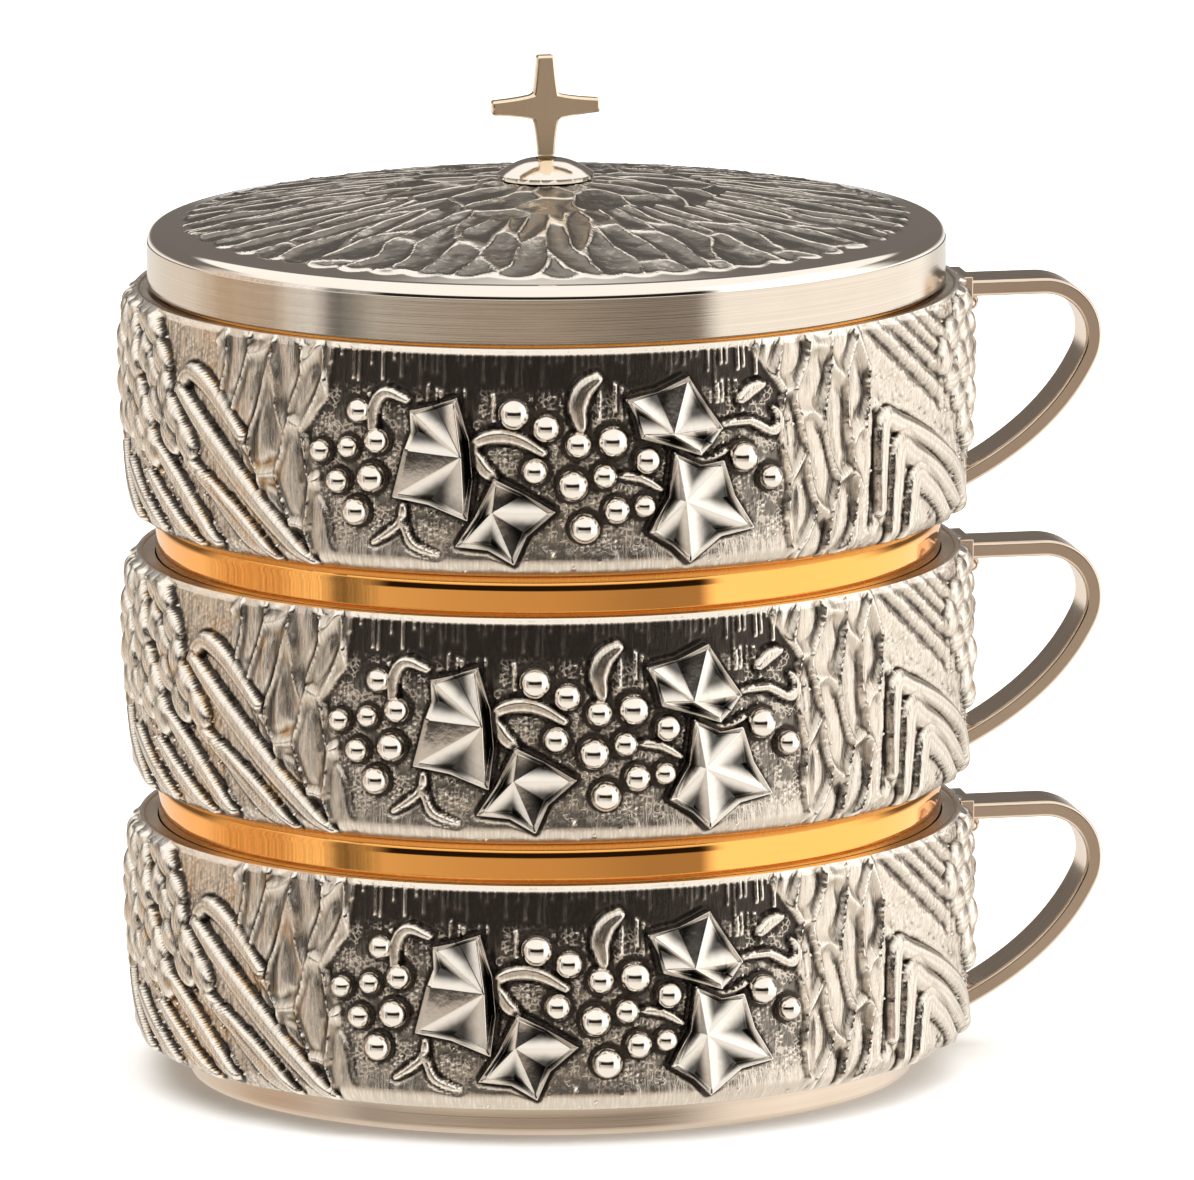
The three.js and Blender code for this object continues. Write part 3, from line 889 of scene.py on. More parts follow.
def make_sheet():
    """The flat relief: rise, hollow and ground on a fine grid."""
    columns = int(2 * SHEET_HALF / SHEET_STEP) + 1
    rows = int(SHEET_TALL / SHEET_STEP) + 1
    s, h = np.meshgrid(np.linspace(-SHEET_HALF, SHEET_HALF, columns), np.linspace(0, SHEET_TALL, rows))
    behind = ground_field(s, h)
    ears = np.maximum(left_field(s, h), right_field(s, h))
    rise = bark(s, h) * (1 - behind) + grape_ground(s, h) * behind
    rise = rise * (1 - ears) + stippled(s, h) * ears
    rise, standing = carve_round(lay_vine(lay_ear(rise, s, h), s, h), s, h)
    near = ease(0.0, 1.4, SHEET_HALF - np.abs(s)) * ease(0, 1.0, h) * ease(0, 1.1, SHEET_TALL - h)
    rise = rise * near
    hollow = np.clip((blurred(standing, 0.75) - rise) / 0.75, -1, 1)
    hollow = np.maximum(hollow, (blurred(rise, 0.35) - rise) / 0.35) * near
    sunk = behind * ease(-0.25, 0.05, -0.35 - rise)
    fade = 0.1 + 0.5 * ease(3, 10, h) + 0.4 * ease(24, 33, h)
    lip = ease(SHEET_TALL - 1.3, SHEET_TALL - 0.7, h)
    hollow = np.clip(hollow, -1, 1) * (1 - lip) - 0.8 * lip
    return {"rise": rise, "hollow": hollow, "ground": sunk * fade * near}


def read_sheet(values, s, h):
    """The sheet's values at any points on it."""
    rows, columns = values.shape
    u = np.clip((s + SHEET_HALF) / (2 * SHEET_HALF) * (columns - 1), 0, columns - 1.001)
    v = np.clip(h / SHEET_TALL * (rows - 1), 0, rows - 1.001)
    column, row = u.astype(int), v.astype(int)
    u, v = u - column, v - row
    bottom = values[row, column] * (1 - u) + values[row, column + 1] * u
    top = values[row + 1, column] * (1 - u) + values[row + 1, column + 1] * u
    return bottom * (1 - v) + top * v


# ---- Relief bands ----

def band_radius(h):
    """Outer radius of the plain band at a height over its foot."""
    corner = BAND_CORNER / MM
    radius_mm = BAND_OUT / MM
    drawn = radius_mm - BAND_TOP_DRAW / MM * np.clip((h - 14) / (SHEET_TALL - 14), 0, 1) ** 2
    under = corner - np.sqrt(np.clip(corner ** 2 - np.clip(corner - h, 0, corner) ** 2, 0, None))
    return drawn - under


def band_profile():
    """Section of one band: up its fine outer face, over the ledge and back down inside."""
    outer = []
    for k in range(BAND_ROWS + 1):
        h = SHEET_TALL * (k / BAND_ROWS)
        outer.append((float(band_radius(np.array(h))) * MM, h * MM))
    top = BAND_TALL
    lip = outer[-1][0]
    inner = BAND_OUT - 2 * BAND_WALL
    ledge = [
        (lip - 0.5 * MM, top + 0.05 * MM), (lip - 0.95 * MM, top - 0.05 * MM),
        (lip - 1.05 * MM, top - 0.35 * MM), (COLLAR_OUT + 0.2 * MM, top - 0.35 * MM),
        (COLLAR_OUT + 0.2 * MM, top - BAND_WALL), (inner, top - 3 * BAND_WALL),
        (inner, BAND_CORNER + BAND_WALL), (inner - BAND_WALL, BAND_WALL),
        (FOOT_OUT - 1.5 * MM, BAND_WALL), (FOOT_OUT - 1.5 * MM, 0),
    ]
    return outer + ledge


def make_half_band(sheet, depth):
    """Half of a relief band, centred on the front, as a mesh with its hollows marked."""
    bm = spin_profile(band_profile(), steps=BAND_STEPS, angle=math.pi, start=-math.pi)
    mesh = settled("half_band", bm)
    co = points_of(mesh)
    out = np.hypot(co[:, 0], co[:, 1])
    s = np.arctan2(co[:, 0], -co[:, 1]) * BAND_OUT / MM
    h = co[:, 2] / MM
    on_sheet = np.clip(h, 0, SHEET_TALL)
    outer = (np.abs(out - band_radius(on_sheet) * MM) < 0.02 * MM) & (h < SHEET_TALL + 0.01)
    rise = read_sheet(sheet["rise"], s, on_sheet) * outer * depth * MM
    co[:, 0] *= (out + rise) / out
    co[:, 1] *= (out + rise) / out
    mesh.vertices.foreach_set("co", co.ravel())
    for name in ("hollow", "ground"):
        mark(mesh, name, read_sheet(sheet[name], s, on_sheet) * outer)
    loops = np.zeros(len(mesh.loops), int)
    mesh.loops.foreach_get("vertex_index", loops)
    flat = np.stack([s[loops], h[loops]], axis=1) * SHEET_UV
    mesh.uv_layers.new(name="sheet").data.foreach_set("uv", flat.ravel())
    mesh.update()
    return mesh


def turned_copy(mesh, angle, lift):
    """A copy of a mesh, turned round the Z axis and lifted to its tier."""
    copy = mesh.copy()
    copy.transform(Matrix.Translation((0, 0, lift)) @ Matrix.Rotation(angle, 4, "Z"))
    return copy


def to_band(s, h, rise):
    """Where a point of the flat sheet lies on a band whose front faces -Y."""
    angle = s * MM / BAND_OUT
    out = (float(band_radius(np.array(h))) + rise) * MM
    return Vector((out * math.sin(angle), -out * math.cos(angle), h * MM))


def grapes_mesh(share):
    """All the grapes of one front, as burnished balls."""
    bm = bmesh.new()
    for s, h, size in GRAPES:
        ball = bmesh.ops.create_uvsphere(bm, u_segments=28, v_segments=18, radius=size * MM)["verts"]
        centre = to_band(s, h, size * share - GROUND_DEPTH)
        bmesh.ops.translate(bm, verts=ball, vec=centre)
    return settled("grapes", bm)


def leaf_blank(middle, outline):
    """The flat blank of a leaf, in the sheet's millimetres, inset to give it a rim."""
    leaf = bmesh.new()
    hub = leaf.verts.new((*middle, 0))
    rim = [leaf.verts.new((x, y, 0)) for x, y, tip in outline]
    for first, second in zip(rim, rim[1:] + rim[:1]):
        leaf.faces.new((hub, first, second))
    bmesh.ops.recalc_face_normals(leaf, faces=leaf.faces[:])
    bmesh.ops.inset_region(
        leaf, faces=leaf.faces[:], thickness=0.85, use_even_offset=True, use_boundary=True)
    return leaf


def fold_leaf(leaf, middle, outline, rise):
    """Creases a blank from its middle to every tip and dip, and gives it a skirt and a back."""
    border = {v for e in leaf.edges if e.is_boundary for v in e.verts}
    for vert in leaf.verts:
        if vert in border:
            vert.co.z = rise
        elif (vert.co.xy - Vector(middle)).length < 0.01:
            vert.co.z = rise + 0.5
        else:
            nearest = min(outline, key=lambda p: (Vector(p[:2]) - vert.co.xy).length)
            vert.co.z = rise - 0.15 if nearest[2] else rise - 1.9
    edges = [e for e in leaf.edges if e.is_boundary]
    for part in bmesh.ops.extrude_edge_only(leaf, edges=edges)["geom"]:
        if isinstance(part, bmesh.types.BMVert):
            part.co.z = -1.2
    bmesh.ops.contextual_create(leaf, geom=[e for e in leaf.edges if e.is_boundary])
    bmesh.ops.recalc_face_normals(leaf, faces=leaf.faces[:])
    creases = [e for e in leaf.edges if not e.is_boundary and e.calc_face_angle(0) > math.radians(12)]
    bmesh.ops.bevel(
        leaf, geom=creases, offset=0.16, offset_type="OFFSET", segments=2, profile=0.5,
        affect="EDGES", material=-1, clamp_overlap=True)


def leaves_mesh(rise):
    """All the leaves of one front, with the depth of their folds marked."""
    bm = bmesh.new()
    for middle, outline in LEAVES:
        leaf = leaf_blank(middle, outline)
        fold_leaf(leaf, middle, outline, rise)
        for vert in leaf.verts:
            vert.co = to_band(vert.co.x, max(0.3, vert.co.y), vert.co.z)
        mesh = settled("leaf", leaf)
        bm.from_mesh(mesh)
        bpy.data.meshes.remove(mesh)
    mesh = settled("leaves", bm)
    co = points_of(mesh) / MM
    stands = np.hypot(co[:, 0], co[:, 1]) - band_radius(co[:, 2])
    mark(mesh, "hollow", np.clip((rise - 0.25 - stands) / 1.1, 0, 1))
    return mesh


def both_sides(name, mesh, tier, finish, sharp):
    """One mesh for the front and the back of a band."""
    bm = bmesh.new()
    for side in (0, math.pi):
        copy = turned_copy(mesh, side + math.radians(TIER_TURN[tier]), low(f"{tier}_relief_band"))
        bm.from_mesh(copy)
        bpy.data.meshes.remove(copy)
    return add_piece(name, bm, f"{tier}_tier", finish, (), sharp)


class CIBORIUM_OT_relief_bands(bpy.types.Operator):
    """Make the relief bands, with their bark, ears and blades"""
    bl_idname = "ciborium.relief_bands"
    bl_label = "Relief bands"

    def execute(self, context):
        sizes = context.scene.ciborium_sizes
        half = make_half_band(make_sheet(), sizes.relief_depth)
        for tier in TIERS:
            node = f"{tier}_relief_band"
            for side, angle in (("front", 0), ("back", math.pi)):
                mesh = turned_copy(half, angle + math.radians(TIER_TURN[tier]), low(node))
                add_mesh(f"{tier}_relief_{side}", mesh, f"{tier}_tier",
                         "relief_silver", (node,), 60)
        bpy.data.meshes.remove(half)
        return {"FINISHED"}


class CIBORIUM_OT_vine(bpy.types.Operator):
    """Make the grapes and the vine leaves that stand on the bands"""
    bl_idname = "ciborium.vine"
    bl_label = "Grapes and leaves"

    def execute(self, context):
        sizes = context.scene.ciborium_sizes
        grapes = grapes_mesh(sizes.grape_rise)
        leaves = leaves_mesh(sizes.leaf_rise / MM)
        for tier in TIERS:
            both_sides(f"{tier}_grapes", grapes, tier, "bright_silver", 60)
            both_sides(f"{tier}_leaves", leaves, tier, "leaf_silver", 14)
        bpy.data.meshes.remove(grapes)
        bpy.data.meshes.remove(leaves)
        return {"FINISHED"}


# ---- Bowls and feet ----

def crown_of(top):
    """The outside of a collar's crown: it turns in slowly at first, then quickly."""
    slow, quick, change = 4.8 * MM, 2.27 * MM, math.radians(14.5)
    slow_middle = (COLLAR_OUT - slow, top - 2.65 * MM)
    quick_middle = (slow_middle[0] + (slow - quick) * math.cos(change),
                    slow_middle[1] + (slow - quick) * math.sin(change))
    return [*arc(slow_middle, slow, 0, 14.5, 8), *arc(quick_middle, quick, 20, 60, 7),
            (COLLAR_OUT - 1.3 * MM, top)]


def cup_profile(base, top, floor):
    """Section of a gilt bowl: floor, wall and crowned collar in one sheet."""
    ledge = base + BAND_TALL
    wall = 1.2 * MM
    corner = 6.5 * MM
    bowl = COLLAR_OUT - 2 * MM
    step = ledge - 3 * MM
    inner = COLLAR_OUT - wall - 0.3 * MM
    centre = (bowl - corner, floor + corner)
    return [
        (0, floor), *arc(centre, corner, -90, 0, 8), (bowl, step - MM), (COLLAR_OUT, step + MM),
        (COLLAR_OUT, ledge - 1.5 * MM), (COLLAR_OUT, ledge), (COLLAR_OUT, top - 2.8 * MM), *crown_of(top),
        (inner, top - 0.3 * MM), (inner, step + 2 * MM), (bowl - wall, step),
        *arc(centre, corner - wall, 0, -90, 8), (0, floor + wall),
    ]


class CIBORIUM_OT_bowls(bpy.types.Operator):
    """Make the three gilt bowls with their collars"""
    bl_idname = "ciborium.bowls"
    bl_label = "Gilt bowls"

    def execute(self, context):
        for tier in TIERS:
            cup = f"{tier}_cup"
            base = low(f"{tier}_relief_band")
            floor = high(f"{tier}_base_plate") + 0.3 * MM
            bm = spin_profile(cup_profile(base, high(cup), floor), closed=False)
            add_piece(cup + "_polished", bm, f"{tier}_tier", "gilt_polish", (cup,), 40)
        return {"FINISHED"}


class CIBORIUM_OT_feet(bpy.types.Operator):
    """Make the turned foot of every tier"""
    bl_idname = "ciborium.feet"
    bl_label = "Feet"

    def execute(self, context):
        for tier in TIERS:
            node = f"{tier}_foot_ring"
            bottom, top = low(node), high(node)
            inner = FOOT_OUT - 2.2 * MM
            corners = [
                (inner, bottom), (FOOT_OUT - 0.9 * MM, bottom), (FOOT_OUT - 0.35 * MM, bottom + 0.15 * MM),
                (FOOT_OUT - 0.05 * MM, bottom + 0.7 * MM), (FOOT_OUT, bottom + 1.3 * MM),
                (FOOT_OUT - 0.05 * MM, bottom + 3.2 * MM), (FOOT_OUT, bottom + 4.6 * MM),
                (FOOT_OUT + 0.3 * MM, top + 0.1 * MM), (FOOT_OUT + 0.3 * MM, top + 0.3 * MM),
                (inner, top + 0.3 * MM),
            ]
            add_piece(node + "_turned", spin_profile(corners), f"{tier}_tier",
                      "foot_satin", (node,), 35)
        return {"FINISHED"}


# ---- Handles ----

def strap_line(node):
    """The middle of a strap in X and Z, and its half thickness, from its node's box."""
    corner_low, corner_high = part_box(node)
    half = 1.4 * MM
    turn = 9 * MM
    top = corner_high.z - half
    bend_x = corner_high.x - half - turn
    bend_z = top - turn
    stop = -math.pi / 7
    root = (BAND_OUT - 0.9 * MM, top)
    foot = (BAND_OUT - 0.9 * MM, corner_low.z + half + 0.3 * MM)
    line = [(root[0] + (bend_x - root[0]) * k / 8, top) for k in range(8)]
    line += arc((bend_x, bend_z), turn, 90, math.degrees(stop), 28)
    start = line[-1]
    pull = (start[0] + 1.6 * turn * math.sin(stop), start[1] - 1.6 * turn * math.cos(stop))
    line += pulled(start, pull, foot, 30)
    return [Vector(p) for p in line], half


def strap_mesh(node):
    """A flat strap, bent along its line: two bridged sides, extruded to its width."""
    line, half = strap_line(node)
    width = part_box(node)[1].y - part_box(node)[0].y
    bm = bmesh.new()
    sides = []
    for sign in (1, -1):
        points = []
        for k, point in enumerate(line):
            along = line[min(k + 1, len(line) - 1)] - line[max(k - 1, 0)]
            across = Vector((-along.y, along.x)).normalized() * half * sign
            points.append(bm.verts.new((point.x + across.x, -width / 2, point.y + across.y)))
        sides.append([bm.edges.new(pair) for pair in zip(points, points[1:])])
    bmesh.ops.bridge_loops(bm, edges=sides[0] + sides[1])
    return thicken(bm, width)


def pad_mesh(node):
    """The pad under the strap's root, with a rounded lug below it."""
    corner_low, corner_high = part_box(node)
    size = corner_high - corner_low
    bm = bmesh.new()
    bmesh.ops.create_cube(bm, size=1)
    bmesh.ops.scale(bm, verts=bm.verts[:], vec=(size.x + 1.2 * MM, size.y, size.z))
    bmesh.ops.translate(bm, verts=bm.verts[:], vec=(corner_low + corner_high) / 2 - Vector((0.6 * MM, 0, 0)))
    lug = bmesh.ops.create_uvsphere(bm, u_segments=20, v_segments=12, radius=1)["verts"]
    bmesh.ops.scale(bm, verts=lug, vec=(1.9 * MM, 3.4 * MM, 1.7 * MM))
    spot = Vector((corner_high.x + 0.2 * MM, 0, corner_low.z - 0.2 * MM))
    bmesh.ops.translate(bm, verts=lug, vec=spot)
    return bm


class CIBORIUM_OT_handles(bpy.types.Operator):
    """Make the strap handles and the pads at their roots"""
    bl_idname = "ciborium.handles"
    bl_label = "Handles"

    def execute(self, context):
        edge = context.scene.ciborium_sizes.strap_edge
        for tier in TIERS:
            body = f"{tier}_tier"
            strap = add_piece(f"{tier}_strap", strap_mesh(f"{tier}_handle"), body,
                              "strap_satin", (f"{tier}_handle",), 40)
            soften(strap, edge, 5)
            pad = add_piece(f"{tier}_strap_root", pad_mesh(f"{tier}_handle_pad"), body,
                            "strap_satin", (f"{tier}_handle_pad",), 40)
            soften(pad, edge / 3)
        return {"FINISHED"}


# ---- The lid ----

class CIBORIUM_OT_lid_band(bpy.types.Operator):
    """Make the brushed band of the lid"""
    bl_idname = "ciborium.lid_band"
    bl_label = "Lid band"

    def execute(self, context):
        bottom, top = low("lid_band"), low("lid_dome") + 0.15 * MM
        inner = LID_OUT - 0.8 * MM
        corners = [
            (inner, bottom), (LID_OUT - 0.25 * MM, bottom), (LID_OUT, bottom + 0.3 * MM),
            (LID_OUT, bottom + 0.5 * MM), (LID_OUT, top - 0.2 * MM), (LID_OUT, top - 0.1 * MM),
            (LID_OUT - 0.1 * MM, top), (inner, top),
        ]
        add_piece("lid_band_brushed", spin_profile(corners), "lid", "lid_satin",
                  ("lid_band",), 35)
        return {"FINISHED"}


def dome_rise(r, edge, apex, rim):
    """Height of the plain dome at a radius."""
    return rim + (apex - rim) * (1 - (r / edge) ** 1.5)


def dome_profile():
    """Section of the dome: over its top, round its edge and back under it."""
    rim = low("lid_dome")
    edge = LID_OUT - DOME_ROLL
    base = rim + DOME_ROLL
    outside = []
    for k in range(DOME_RINGS + 1):
        r = DOME_HOLE + (edge - DOME_HOLE) * k / DOME_RINGS
        outside.append((r, dome_rise(r, edge, high("lid_dome"), base)))
    round_edge = arc((edge, rim + 0.15 * MM), DOME_ROLL - 0.15 * MM, 84, 0, 14)
    under = LID_OUT - 0.9 * MM
    roll = round_edge + [(under, rim + 0.1 * MM), (under, rim), (edge - DOME_WALL, rim)]
    inner = [(max(r - 0.1 * MM, DOME_HOLE), z - DOME_WALL) for r, z in outside[::-12]]
    return outside + roll + inner[1:]


def dome_plates(r, angle, count, long, seed):
    """Long plates that point to the middle, in a ring of count columns: border distance and number."""
    across = angle / (2 * math.pi) * count
    sway = 0.7 * (ripple(across / 2 + 40, r / 8, seed) - 0.5)
    along = r / long + 0.5 * (ripple(across, r / 30, seed + 1) - 0.5)
    border, number, offset = cells(across + sway, along, 1.0, 1.0, seed + 2)
    return border * 2 * math.pi * r / count, number


def dome_pattern(x, y):
    """Radial bark on the dome: rise, distance from the nearest vein, and where the carving lies."""
    r = np.hypot(x, y)
    angle = np.arctan2(y, x)
    outer, outer_number = dome_plates(r, angle, 54, 24, 41)
    inner, inner_number = dome_plates(r, angle, 17, 13, 51)
    outward = r > 29 + 8 * (ripple(angle * 4 + 30, 0, 47) - 0.5)
    vein = np.where(outward, outer, inner)
    number = np.where(outward, outer_number, inner_number)
    edge = 62.3 + 1.5 * np.abs(np.sin(angle * 27 + 2 * ripple(angle * 5 + 30, 0, 45)))
    field = ease(-0.7, 0.5, edge - r) * ease(8.0, 10.0, r)
    plate = ease(0.2, 2.0, vein) * (0.16 + 0.2 * number)
    rough = 0.14 * (ripple(x / 2.4, y / 2.4, 46) - 0.5)
    ridge = 0.22 * np.exp(-(vein / 0.5) ** 2)
    lip = 0.16 * np.exp(-((r - edge) / 0.5) ** 2)
    return (ridge - plate + rough) * field + lip, vein, field


def carve_dome(bm):
    """Raises the pattern on the upper face of the dome and marks its veins."""
    mesh = settled("dome", bm)
    co = points_of(mesh)
    rise, vein, field = dome_pattern(co[:, 0] / MM, co[:, 1] / MM)
    edge = LID_OUT - DOME_ROLL
    r = np.hypot(co[:, 0], co[:, 1])
    plain = dome_rise(np.minimum(r, edge), edge, high("lid_dome"), low("lid_dome") + DOME_ROLL)
    upper = (co[:, 2] > plain - 0.3 * MM) & (r < edge)
    co[:, 2] += np.where(upper, rise * MM, 0)
    mesh.vertices.foreach_set("co", co.ravel())
    mark(mesh, "vein", np.where(upper, np.minimum(vein, 2.0), 2.0))
    mark(mesh, "field", np.where(upper, field, 0.0))
    mesh.update()
    return mesh


class CIBORIUM_OT_dome(bpy.types.Operator):
    """Make the domed lid with its radial bark"""
    bl_idname = "ciborium.dome"
    bl_label = "Dome"

    def execute(self, context):
        mesh = carve_dome(spin_profile(dome_profile(), DOME_STEPS))
        add_mesh("lid_dome_carved", mesh, "lid", "dome_silver", ("lid_dome",), 60)
        return {"FINISHED"}


def boss_profile():
    """Section of the boss: a short upright edge, then an even dome up to the stud."""
    bottom, top = low("lid_boss"), high("lid_boss")
    out = radius("lid_boss")
    hole = DOME_HOLE
    edge = 0.35 * MM
    corners = [(hole, bottom - 0.5 * MM), (out - 0.3 * MM, bottom - 0.5 * MM), (out, bottom),
               (out + 0.05 * MM, bottom + edge)]
    for k in range(1, 15):
        share = k / 14
        climb = math.sin(share * math.pi / 2) ** 0.9
        corners.append((out * (1 - share) + hole * share, bottom + edge + (top - bottom - edge) * climb))
    return corners


class CIBORIUM_OT_boss(bpy.types.Operator):
    """Make the polished boss under the cross"""
    bl_idname = "ciborium.boss"
    bl_label = "Boss"

    def execute(self, context):
        add_piece("lid_boss_polished", spin_profile(boss_profile(), 96), "lid",
                  "bright_silver", ("lid_boss",), 50)
        return {"FINISHED"}


def cross_outline():
    """Outline of the cross in X and Z, from its node's box."""
    corner_low, corner_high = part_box("cross")
    span = corner_high.x
    foot, top = corner_low.z, corner_high.z
    arm = foot + 8.9 * MM
    hub, foot_half, tip_half, arm_half, hollow = 2.25 * MM, 1.4 * MM, 1.5 * MM, 1.25 * MM, 0.35 * MM
    right = [(foot_half, foot)]
    right += pulled(right[-1], (foot_half + hollow, arm - 2 * hub), (hub, arm - hub))
    right += pulled(right[-1], (2 * hub, arm - arm_half - hollow), (span, arm - arm_half))
    right += [(span, arm + arm_half)]
    right += pulled(right[-1], (2 * hub, arm + arm_half + hollow), (hub, arm + hub))
    right += pulled(right[-1], (tip_half + hollow, arm + 2 * hub), (tip_half, top))
    return right + [(-x, z) for x, z in reversed(right)]


class CIBORIUM_OT_cross(bpy.types.Operator):
    """Make the flat cross with its bevelled edge"""
    bl_idname = "ciborium.cross"
    bl_label = "Cross"

    def execute(self, context):
        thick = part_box("cross")[1].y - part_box("cross")[0].y
        bm = bmesh.new()
        bm.faces.new([bm.verts.new((x, -thick / 2, z)) for x, z in cross_outline()])
        piece = add_piece("cross_bevelled", thicken(bm, thick), "lid", "cross_satin",
                          ("cross",), 30)
        soften(piece, context.scene.ciborium_sizes.cross_edge, 2)
        return {"FINISHED"}


# ---- Carried-over nodes ----

class CIBORIUM_OT_hidden_metal(bpy.types.Operator):
    """Give the plates, nuts, washers and studs their finishes"""
    bl_idname = "ciborium.hidden_metal"
    bl_label = "Plates and fasteners"

    def execute(self, context):
        finishes = {"cross_stud": "plain_brass", "cross_washer": "plain_brass", "cross_nut": "plain_brass"}
        for tier in TIERS:
            finishes[f"{tier}_base_plate"] = "foot_satin"
            finishes[f"{tier}_foot_plate"] = "foot_satin"
            finishes[f"{tier}_base_washer"] = "plain_brass"
            finishes[f"{tier}_base_nut"] = "plain_brass"
        for node, finish in finishes.items():
            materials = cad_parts[node].data.materials
            materials.clear()
            materials.append(material(finish))
        return {"FINISHED"}


# ---- Stage ----

def white_glow():
    """A material that only glows, evenly white."""
    glow = bpy.data.materials.new("white_paper")
    glow.use_nodes = True
    shader = glow.node_tree.nodes["Principled BSDF"]
    shader.inputs["Base Color"].default_value = (0, 0, 0, 1)
    shader.inputs["Emission Color"].default_value = (1, 1, 1, 1)
    shader.inputs["Emission Strength"].default_value = 1.0
    return glow


def stage_sheet(name, size, matrix, finish):
    """A flat rectangle of the stage."""
    bm = bmesh.new()
    bmesh.ops.create_grid(bm, x_segments=1, y_segments=1, size=0.5)
    bmesh.ops.scale(bm, verts=bm.verts[:], vec=(*size, 1))
    bmesh.ops.transform(bm, verts=bm.verts[:], matrix=matrix)
    mesh = settled(name, bm)
    mesh.materials.append(finish)
    sheet = bpy.data.objects.new(name, mesh)
    bpy.context.scene.collection.objects.link(sheet)
    return sheet


def lamp(name, spot, aim, size, power):
    """A soft white rectangular lamp at spot that faces aim."""
    light = bpy.data.lights.new(name, "AREA")
    light.shape = "RECTANGLE"
    light.size, light.size_y = size
    light.energy = power
    holder = bpy.data.objects.new(name, light)
    holder.location = spot
    holder.rotation_euler = (aim - spot).to_track_quat("-Z", "Y").to_euler()
    holder.visible_camera = False
    holder.visible_glossy = False
    bpy.context.scene.collection.objects.link(holder)


def set_camera(stage):
    """The camera, looking a little down at the front of the relief."""
    turn = Matrix.Rotation(stage.camera_turn, 3, "Z")
    spot = Vector((stage.camera_side, -stage.camera_away, stage.camera_height))
    drop = math.atan2(stage.camera_height - stage.aim_height, stage.camera_away)
    ahead = Vector((0, math.cos(drop), -math.sin(drop)))
    right = Vector((1, 0, 0))
    up = Vector((0, math.sin(drop), math.cos(drop)))
    lean_right = right * math.cos(stage.roll) + up * math.sin(stage.roll)
    lean_up = up * math.cos(stage.roll) - right * math.sin(stage.roll)
    axes = Matrix((lean_right, lean_up, -ahead)).transposed()
    data = bpy.data.cameras.new("camera")
    data.lens = stage.lens
    data.sensor_width = 36
    data.sensor_fit = "HORIZONTAL"
    data.clip_start = 0.1
    data.clip_end = 60
    camera = bpy.data.objects.new("camera", data)
    camera.matrix_world = Matrix.Translation(turn @ spot) @ (turn @ axes).to_4x4()
    bpy.context.scene.collection.objects.link(camera)
    bpy.context.scene.camera = camera


# What a level glance meets round the room, by degrees to the right of the camera.
ROOM = [
    (-180, (0.60, 0.58, 0.56)), (-152, (0.68, 0.64, 0.58)), (-122, (0.68, 0.62, 0.55)),
    (-108, (0.53, 0.41, 0.30)), (-86, (0.50, 0.41, 0.33)), (-75, (0.72, 0.69, 0.66)),
    (-70, (0.68, 0.65, 0.62)), (-64, (0.16, 0.15, 0.14)), (-58, (0.25, 0.24, 0.22)),
    (-50, (0.50, 0.46, 0.41)), (-20, (0.42, 0.36, 0.30)), (0, (0.40, 0.34, 0.28)),
    (30, (0.28, 0.24, 0.20)), (45, (0.28, 0.24, 0.21)), (50, (0.98, 0.95, 0.90)),
    (138, (0.98, 0.95, 0.90)), (150, (0.66, 0.64, 0.60)), (180, (0.60, 0.58, 0.56)),
]
ROOM_BRIGHT = 1.5


def room_wall(room, level):
    """The wall all round, with its upright streaks at the left."""
    stops = [((angle + 180) / 360, colour) for angle, colour in ROOM]
    wall = room.node("ShaderNodeValToRGB", {"stops": stops}, {"Fac": (level + 180.0) * (1 / 360)})
    grain = room.node("ShaderNodeTexNoise", {"noise_dimensions": "1D"}, {"W": level * 0.5, "Detail": 4.0})
    streaked = level.between(-124, -108) * (1.0 - level.between(-56, -48))
    shade = grain.out("Fac").between(0.42, 0.6) * 1.1 + 0.45
    shade = shade * streaked + (1.0 - streaked)
    return room.node("ShaderNodeVectorMath", {"operation": "SCALE"}, {
        "Vector": wall.out("Color"), "Scale": shade}).out("Vector")


def room_ceiling(room, level, up):
    """How much a direction meets the ceiling, and the ceiling's colour, dim towards the back."""
    right = level.between(44, 54) * (1.0 - level.between(138, 150))
    back = level.between(95, 125) + (1.0 - level.between(-125, -95))
    high = up.between(13, 22) * (1.0 - right) + up.between(38, 52) * right
    high = high.maths("MAXIMUM", high, back * up.between(-6, 2))
    dim = back * (1.0 - up.between(27, 32))
    return high, room.mixed(dim, (0.74, 0.72, 0.68), (0.12, 0.107, 0.096))


def make_room(turn):
    """The room round the camera: pale floor, a dark gap behind the camera, soft white panels."""
    world = bpy.data.worlds.new("room")
    world.use_nodes = True
    room = Nodes(world.node_tree)
    glance = room.node("ShaderNodeMapping", None, {
        "Vector": room.node("ShaderNodeTexCoord").out("Generated"), "Rotation": (0, 0, -turn)}).out()
    parts = room.node("ShaderNodeSeparateXYZ", None, {"Vector": glance})
    degrees = 180 / math.pi
    level = parts.out("X").maths("ARCTAN2", parts.out("X"), parts.out("Y") * -1.0) * degrees
    up = parts.out("Z").maths("ARCSINE", parts.out("Z")) * degrees
    near_floor = tone((1.05, 1.0, 0.92), 1 / ROOM_BRIGHT)
    seen = room.mixed(up.between(-40, -13), near_floor, room_wall(room, level))
    front = level.between(-58, -46) * (1.0 - level.between(44, 54))
    gap = front * up.between(-8.5, -5.5) * (1.0 - up.between(13, 18))
    seen = room.mixed(gap, seen, (0.012, 0.01, 0.009))
    high, ceiling = room_ceiling(room, level, up)
    background = world.node_tree.nodes["Background"]
    room.feed(background.inputs["Color"], room.mixed(high, seen, ceiling))
    background.inputs["Strength"].default_value = ROOM_BRIGHT
    return world


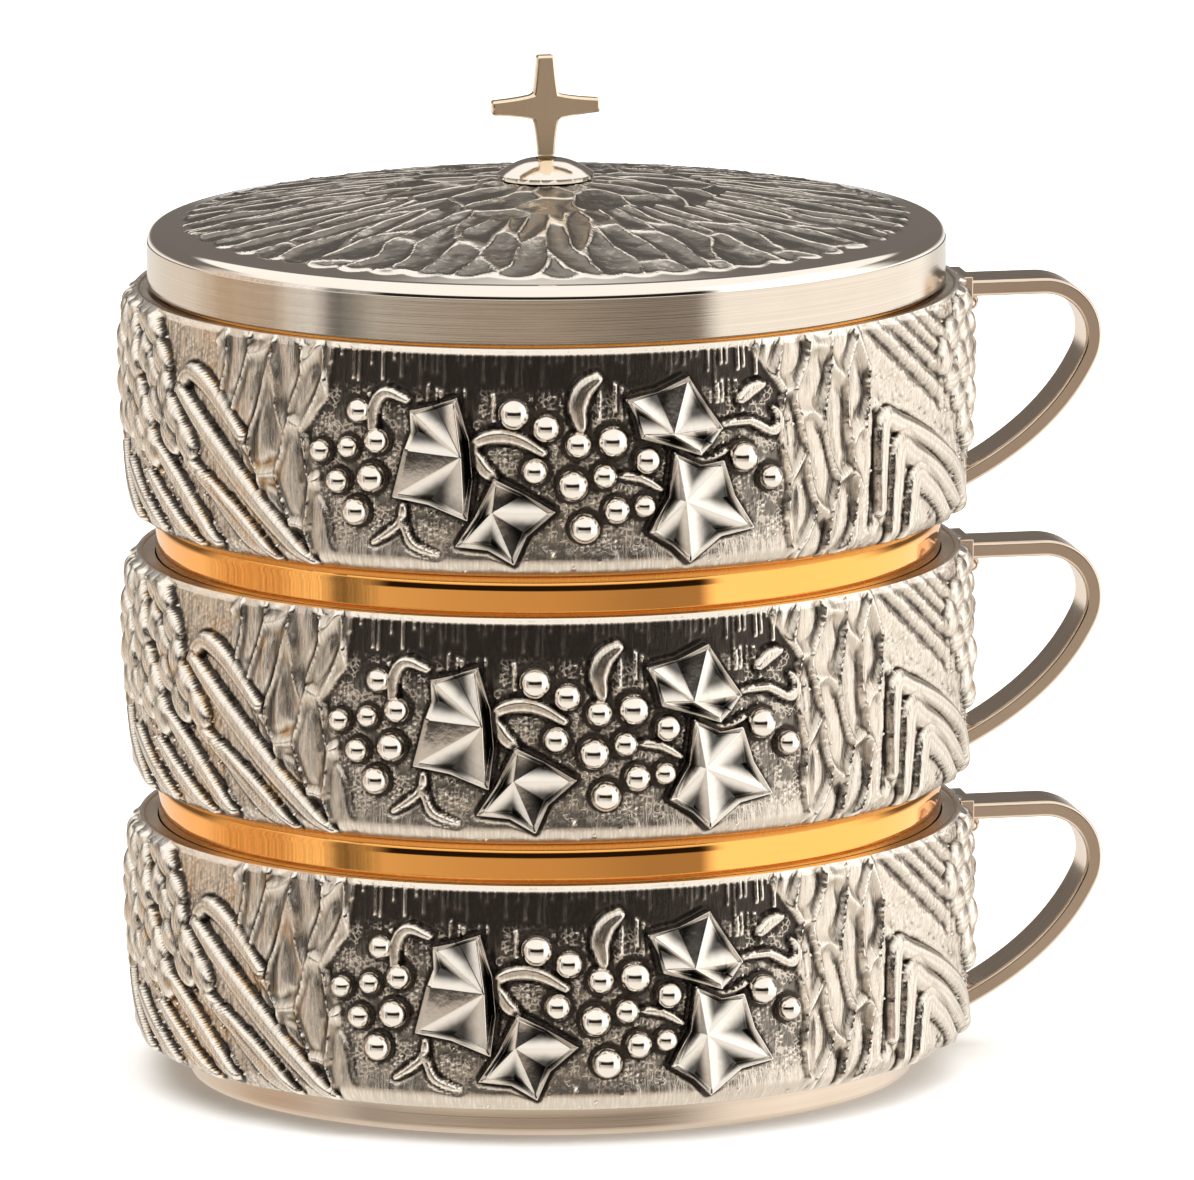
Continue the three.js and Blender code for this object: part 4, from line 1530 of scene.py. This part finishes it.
def set_floor():
    """A plain pale floor under the lowest foot."""
    floor = Finish("pale_floor")
    mottle = floor.noise(floor.coordinates, 3.0)
    floor.set(base_color=floor.mixed(mottle, (0.86, 0.86, 0.86), (0.9, 0.9, 0.9)), roughness=0.9)
    level = Matrix.Translation((0, 0, low("bottom_foot_plate")))
    stage_sheet("floor", (9, 9), level, floor.material).visible_glossy = False


def set_backdrop():
    """Four white sheets round the floor, which only the camera sees."""
    white = white_glow()
    for k in range(4):
        place = Matrix.Rotation(k * math.pi / 2, 4, "Z") @ Matrix.Translation((0, 6, 1))
        upright = place @ Matrix.Rotation(math.pi / 2, 4, "X")
        wall = stage_sheet(f"backdrop_{k}", (14, 6), upright, white)
        wall.visible_glossy = False
        wall.visible_diffuse = False
        wall.visible_shadow = False


class CIBORIUM_OT_stage(bpy.types.Operator):
    """Set the floor, the soft lamps and the camera"""
    bl_idname = "ciborium.stage"
    bl_label = "Stage"

    def execute(self, context):
        stage = context.scene.ciborium_stage
        set_camera(stage)
        set_floor()
        set_backdrop()
        turn = Matrix.Rotation(stage.camera_turn, 3, "Z")
        lamp("overhead", turn @ Vector((0, 0.5, 2.6)), turn @ Vector((0, 0.5, 0)), (4.4, 4.4), 135)
        lamp("right_panel", turn @ Vector((1.6, -0.6, 1.0)), Vector((0, 0, 0.1)), (1.2, 1.2), 12)
        context.scene.world = make_room(stage.camera_turn)
        context.scene.view_settings.view_transform = "Standard"
        context.scene.view_settings.look = "None"
        return {"FINISHED"}


# ---- Panel and running order ----

STEPS = (
    CIBORIUM_OT_stage, CIBORIUM_OT_bowls, CIBORIUM_OT_feet, CIBORIUM_OT_relief_bands,
    CIBORIUM_OT_vine, CIBORIUM_OT_handles, CIBORIUM_OT_lid_band, CIBORIUM_OT_dome,
    CIBORIUM_OT_boss, CIBORIUM_OT_cross, CIBORIUM_OT_hidden_metal,
)


class CIBORIUM_PT_panel(bpy.types.Panel):
    """Sizes, colours and steps of the ciborium"""
    bl_idname = "CIBORIUM_PT_panel"
    bl_label = "Ciborium"
    bl_space_type = "VIEW_3D"
    bl_region_type = "UI"
    bl_category = "Ciborium"

    def draw(self, context):
        for group in ("ciborium_sizes", "ciborium_colours", "ciborium_stage"):
            settings = getattr(context.scene, group)
            box = self.layout.box()
            for name in settings.__annotations__:
                box.prop(settings, name)
        for step in STEPS:
            self.layout.operator(step.bl_idname)


GROUPS = {
    "ciborium_sizes": CIBORIUM_PG_sizes,
    "ciborium_colours": CIBORIUM_PG_colours,
    "ciborium_stage": CIBORIUM_PG_stage,
}
CLASSES = (*GROUPS.values(), *STEPS, CIBORIUM_PT_panel)


def register():
    for cls in CLASSES:
        bpy.utils.register_class(cls)
    for name, group in GROUPS.items():
        setattr(bpy.types.Scene, name, bpy.props.PointerProperty(type=group))


def unregister():
    for name in GROUPS:
        delattr(bpy.types.Scene, name)
    for cls in reversed(CLASSES):
        bpy.utils.unregister_class(cls)


def plain(box):
    """A box's two corners as lists of numbers."""
    return [list(corner) for corner in box]


def main():
    register()
    for step in STEPS:
        family, name = step.bl_idname.split(".")
        getattr(getattr(bpy.ops, family), name)()


if __name__ == "__main__":
    main()
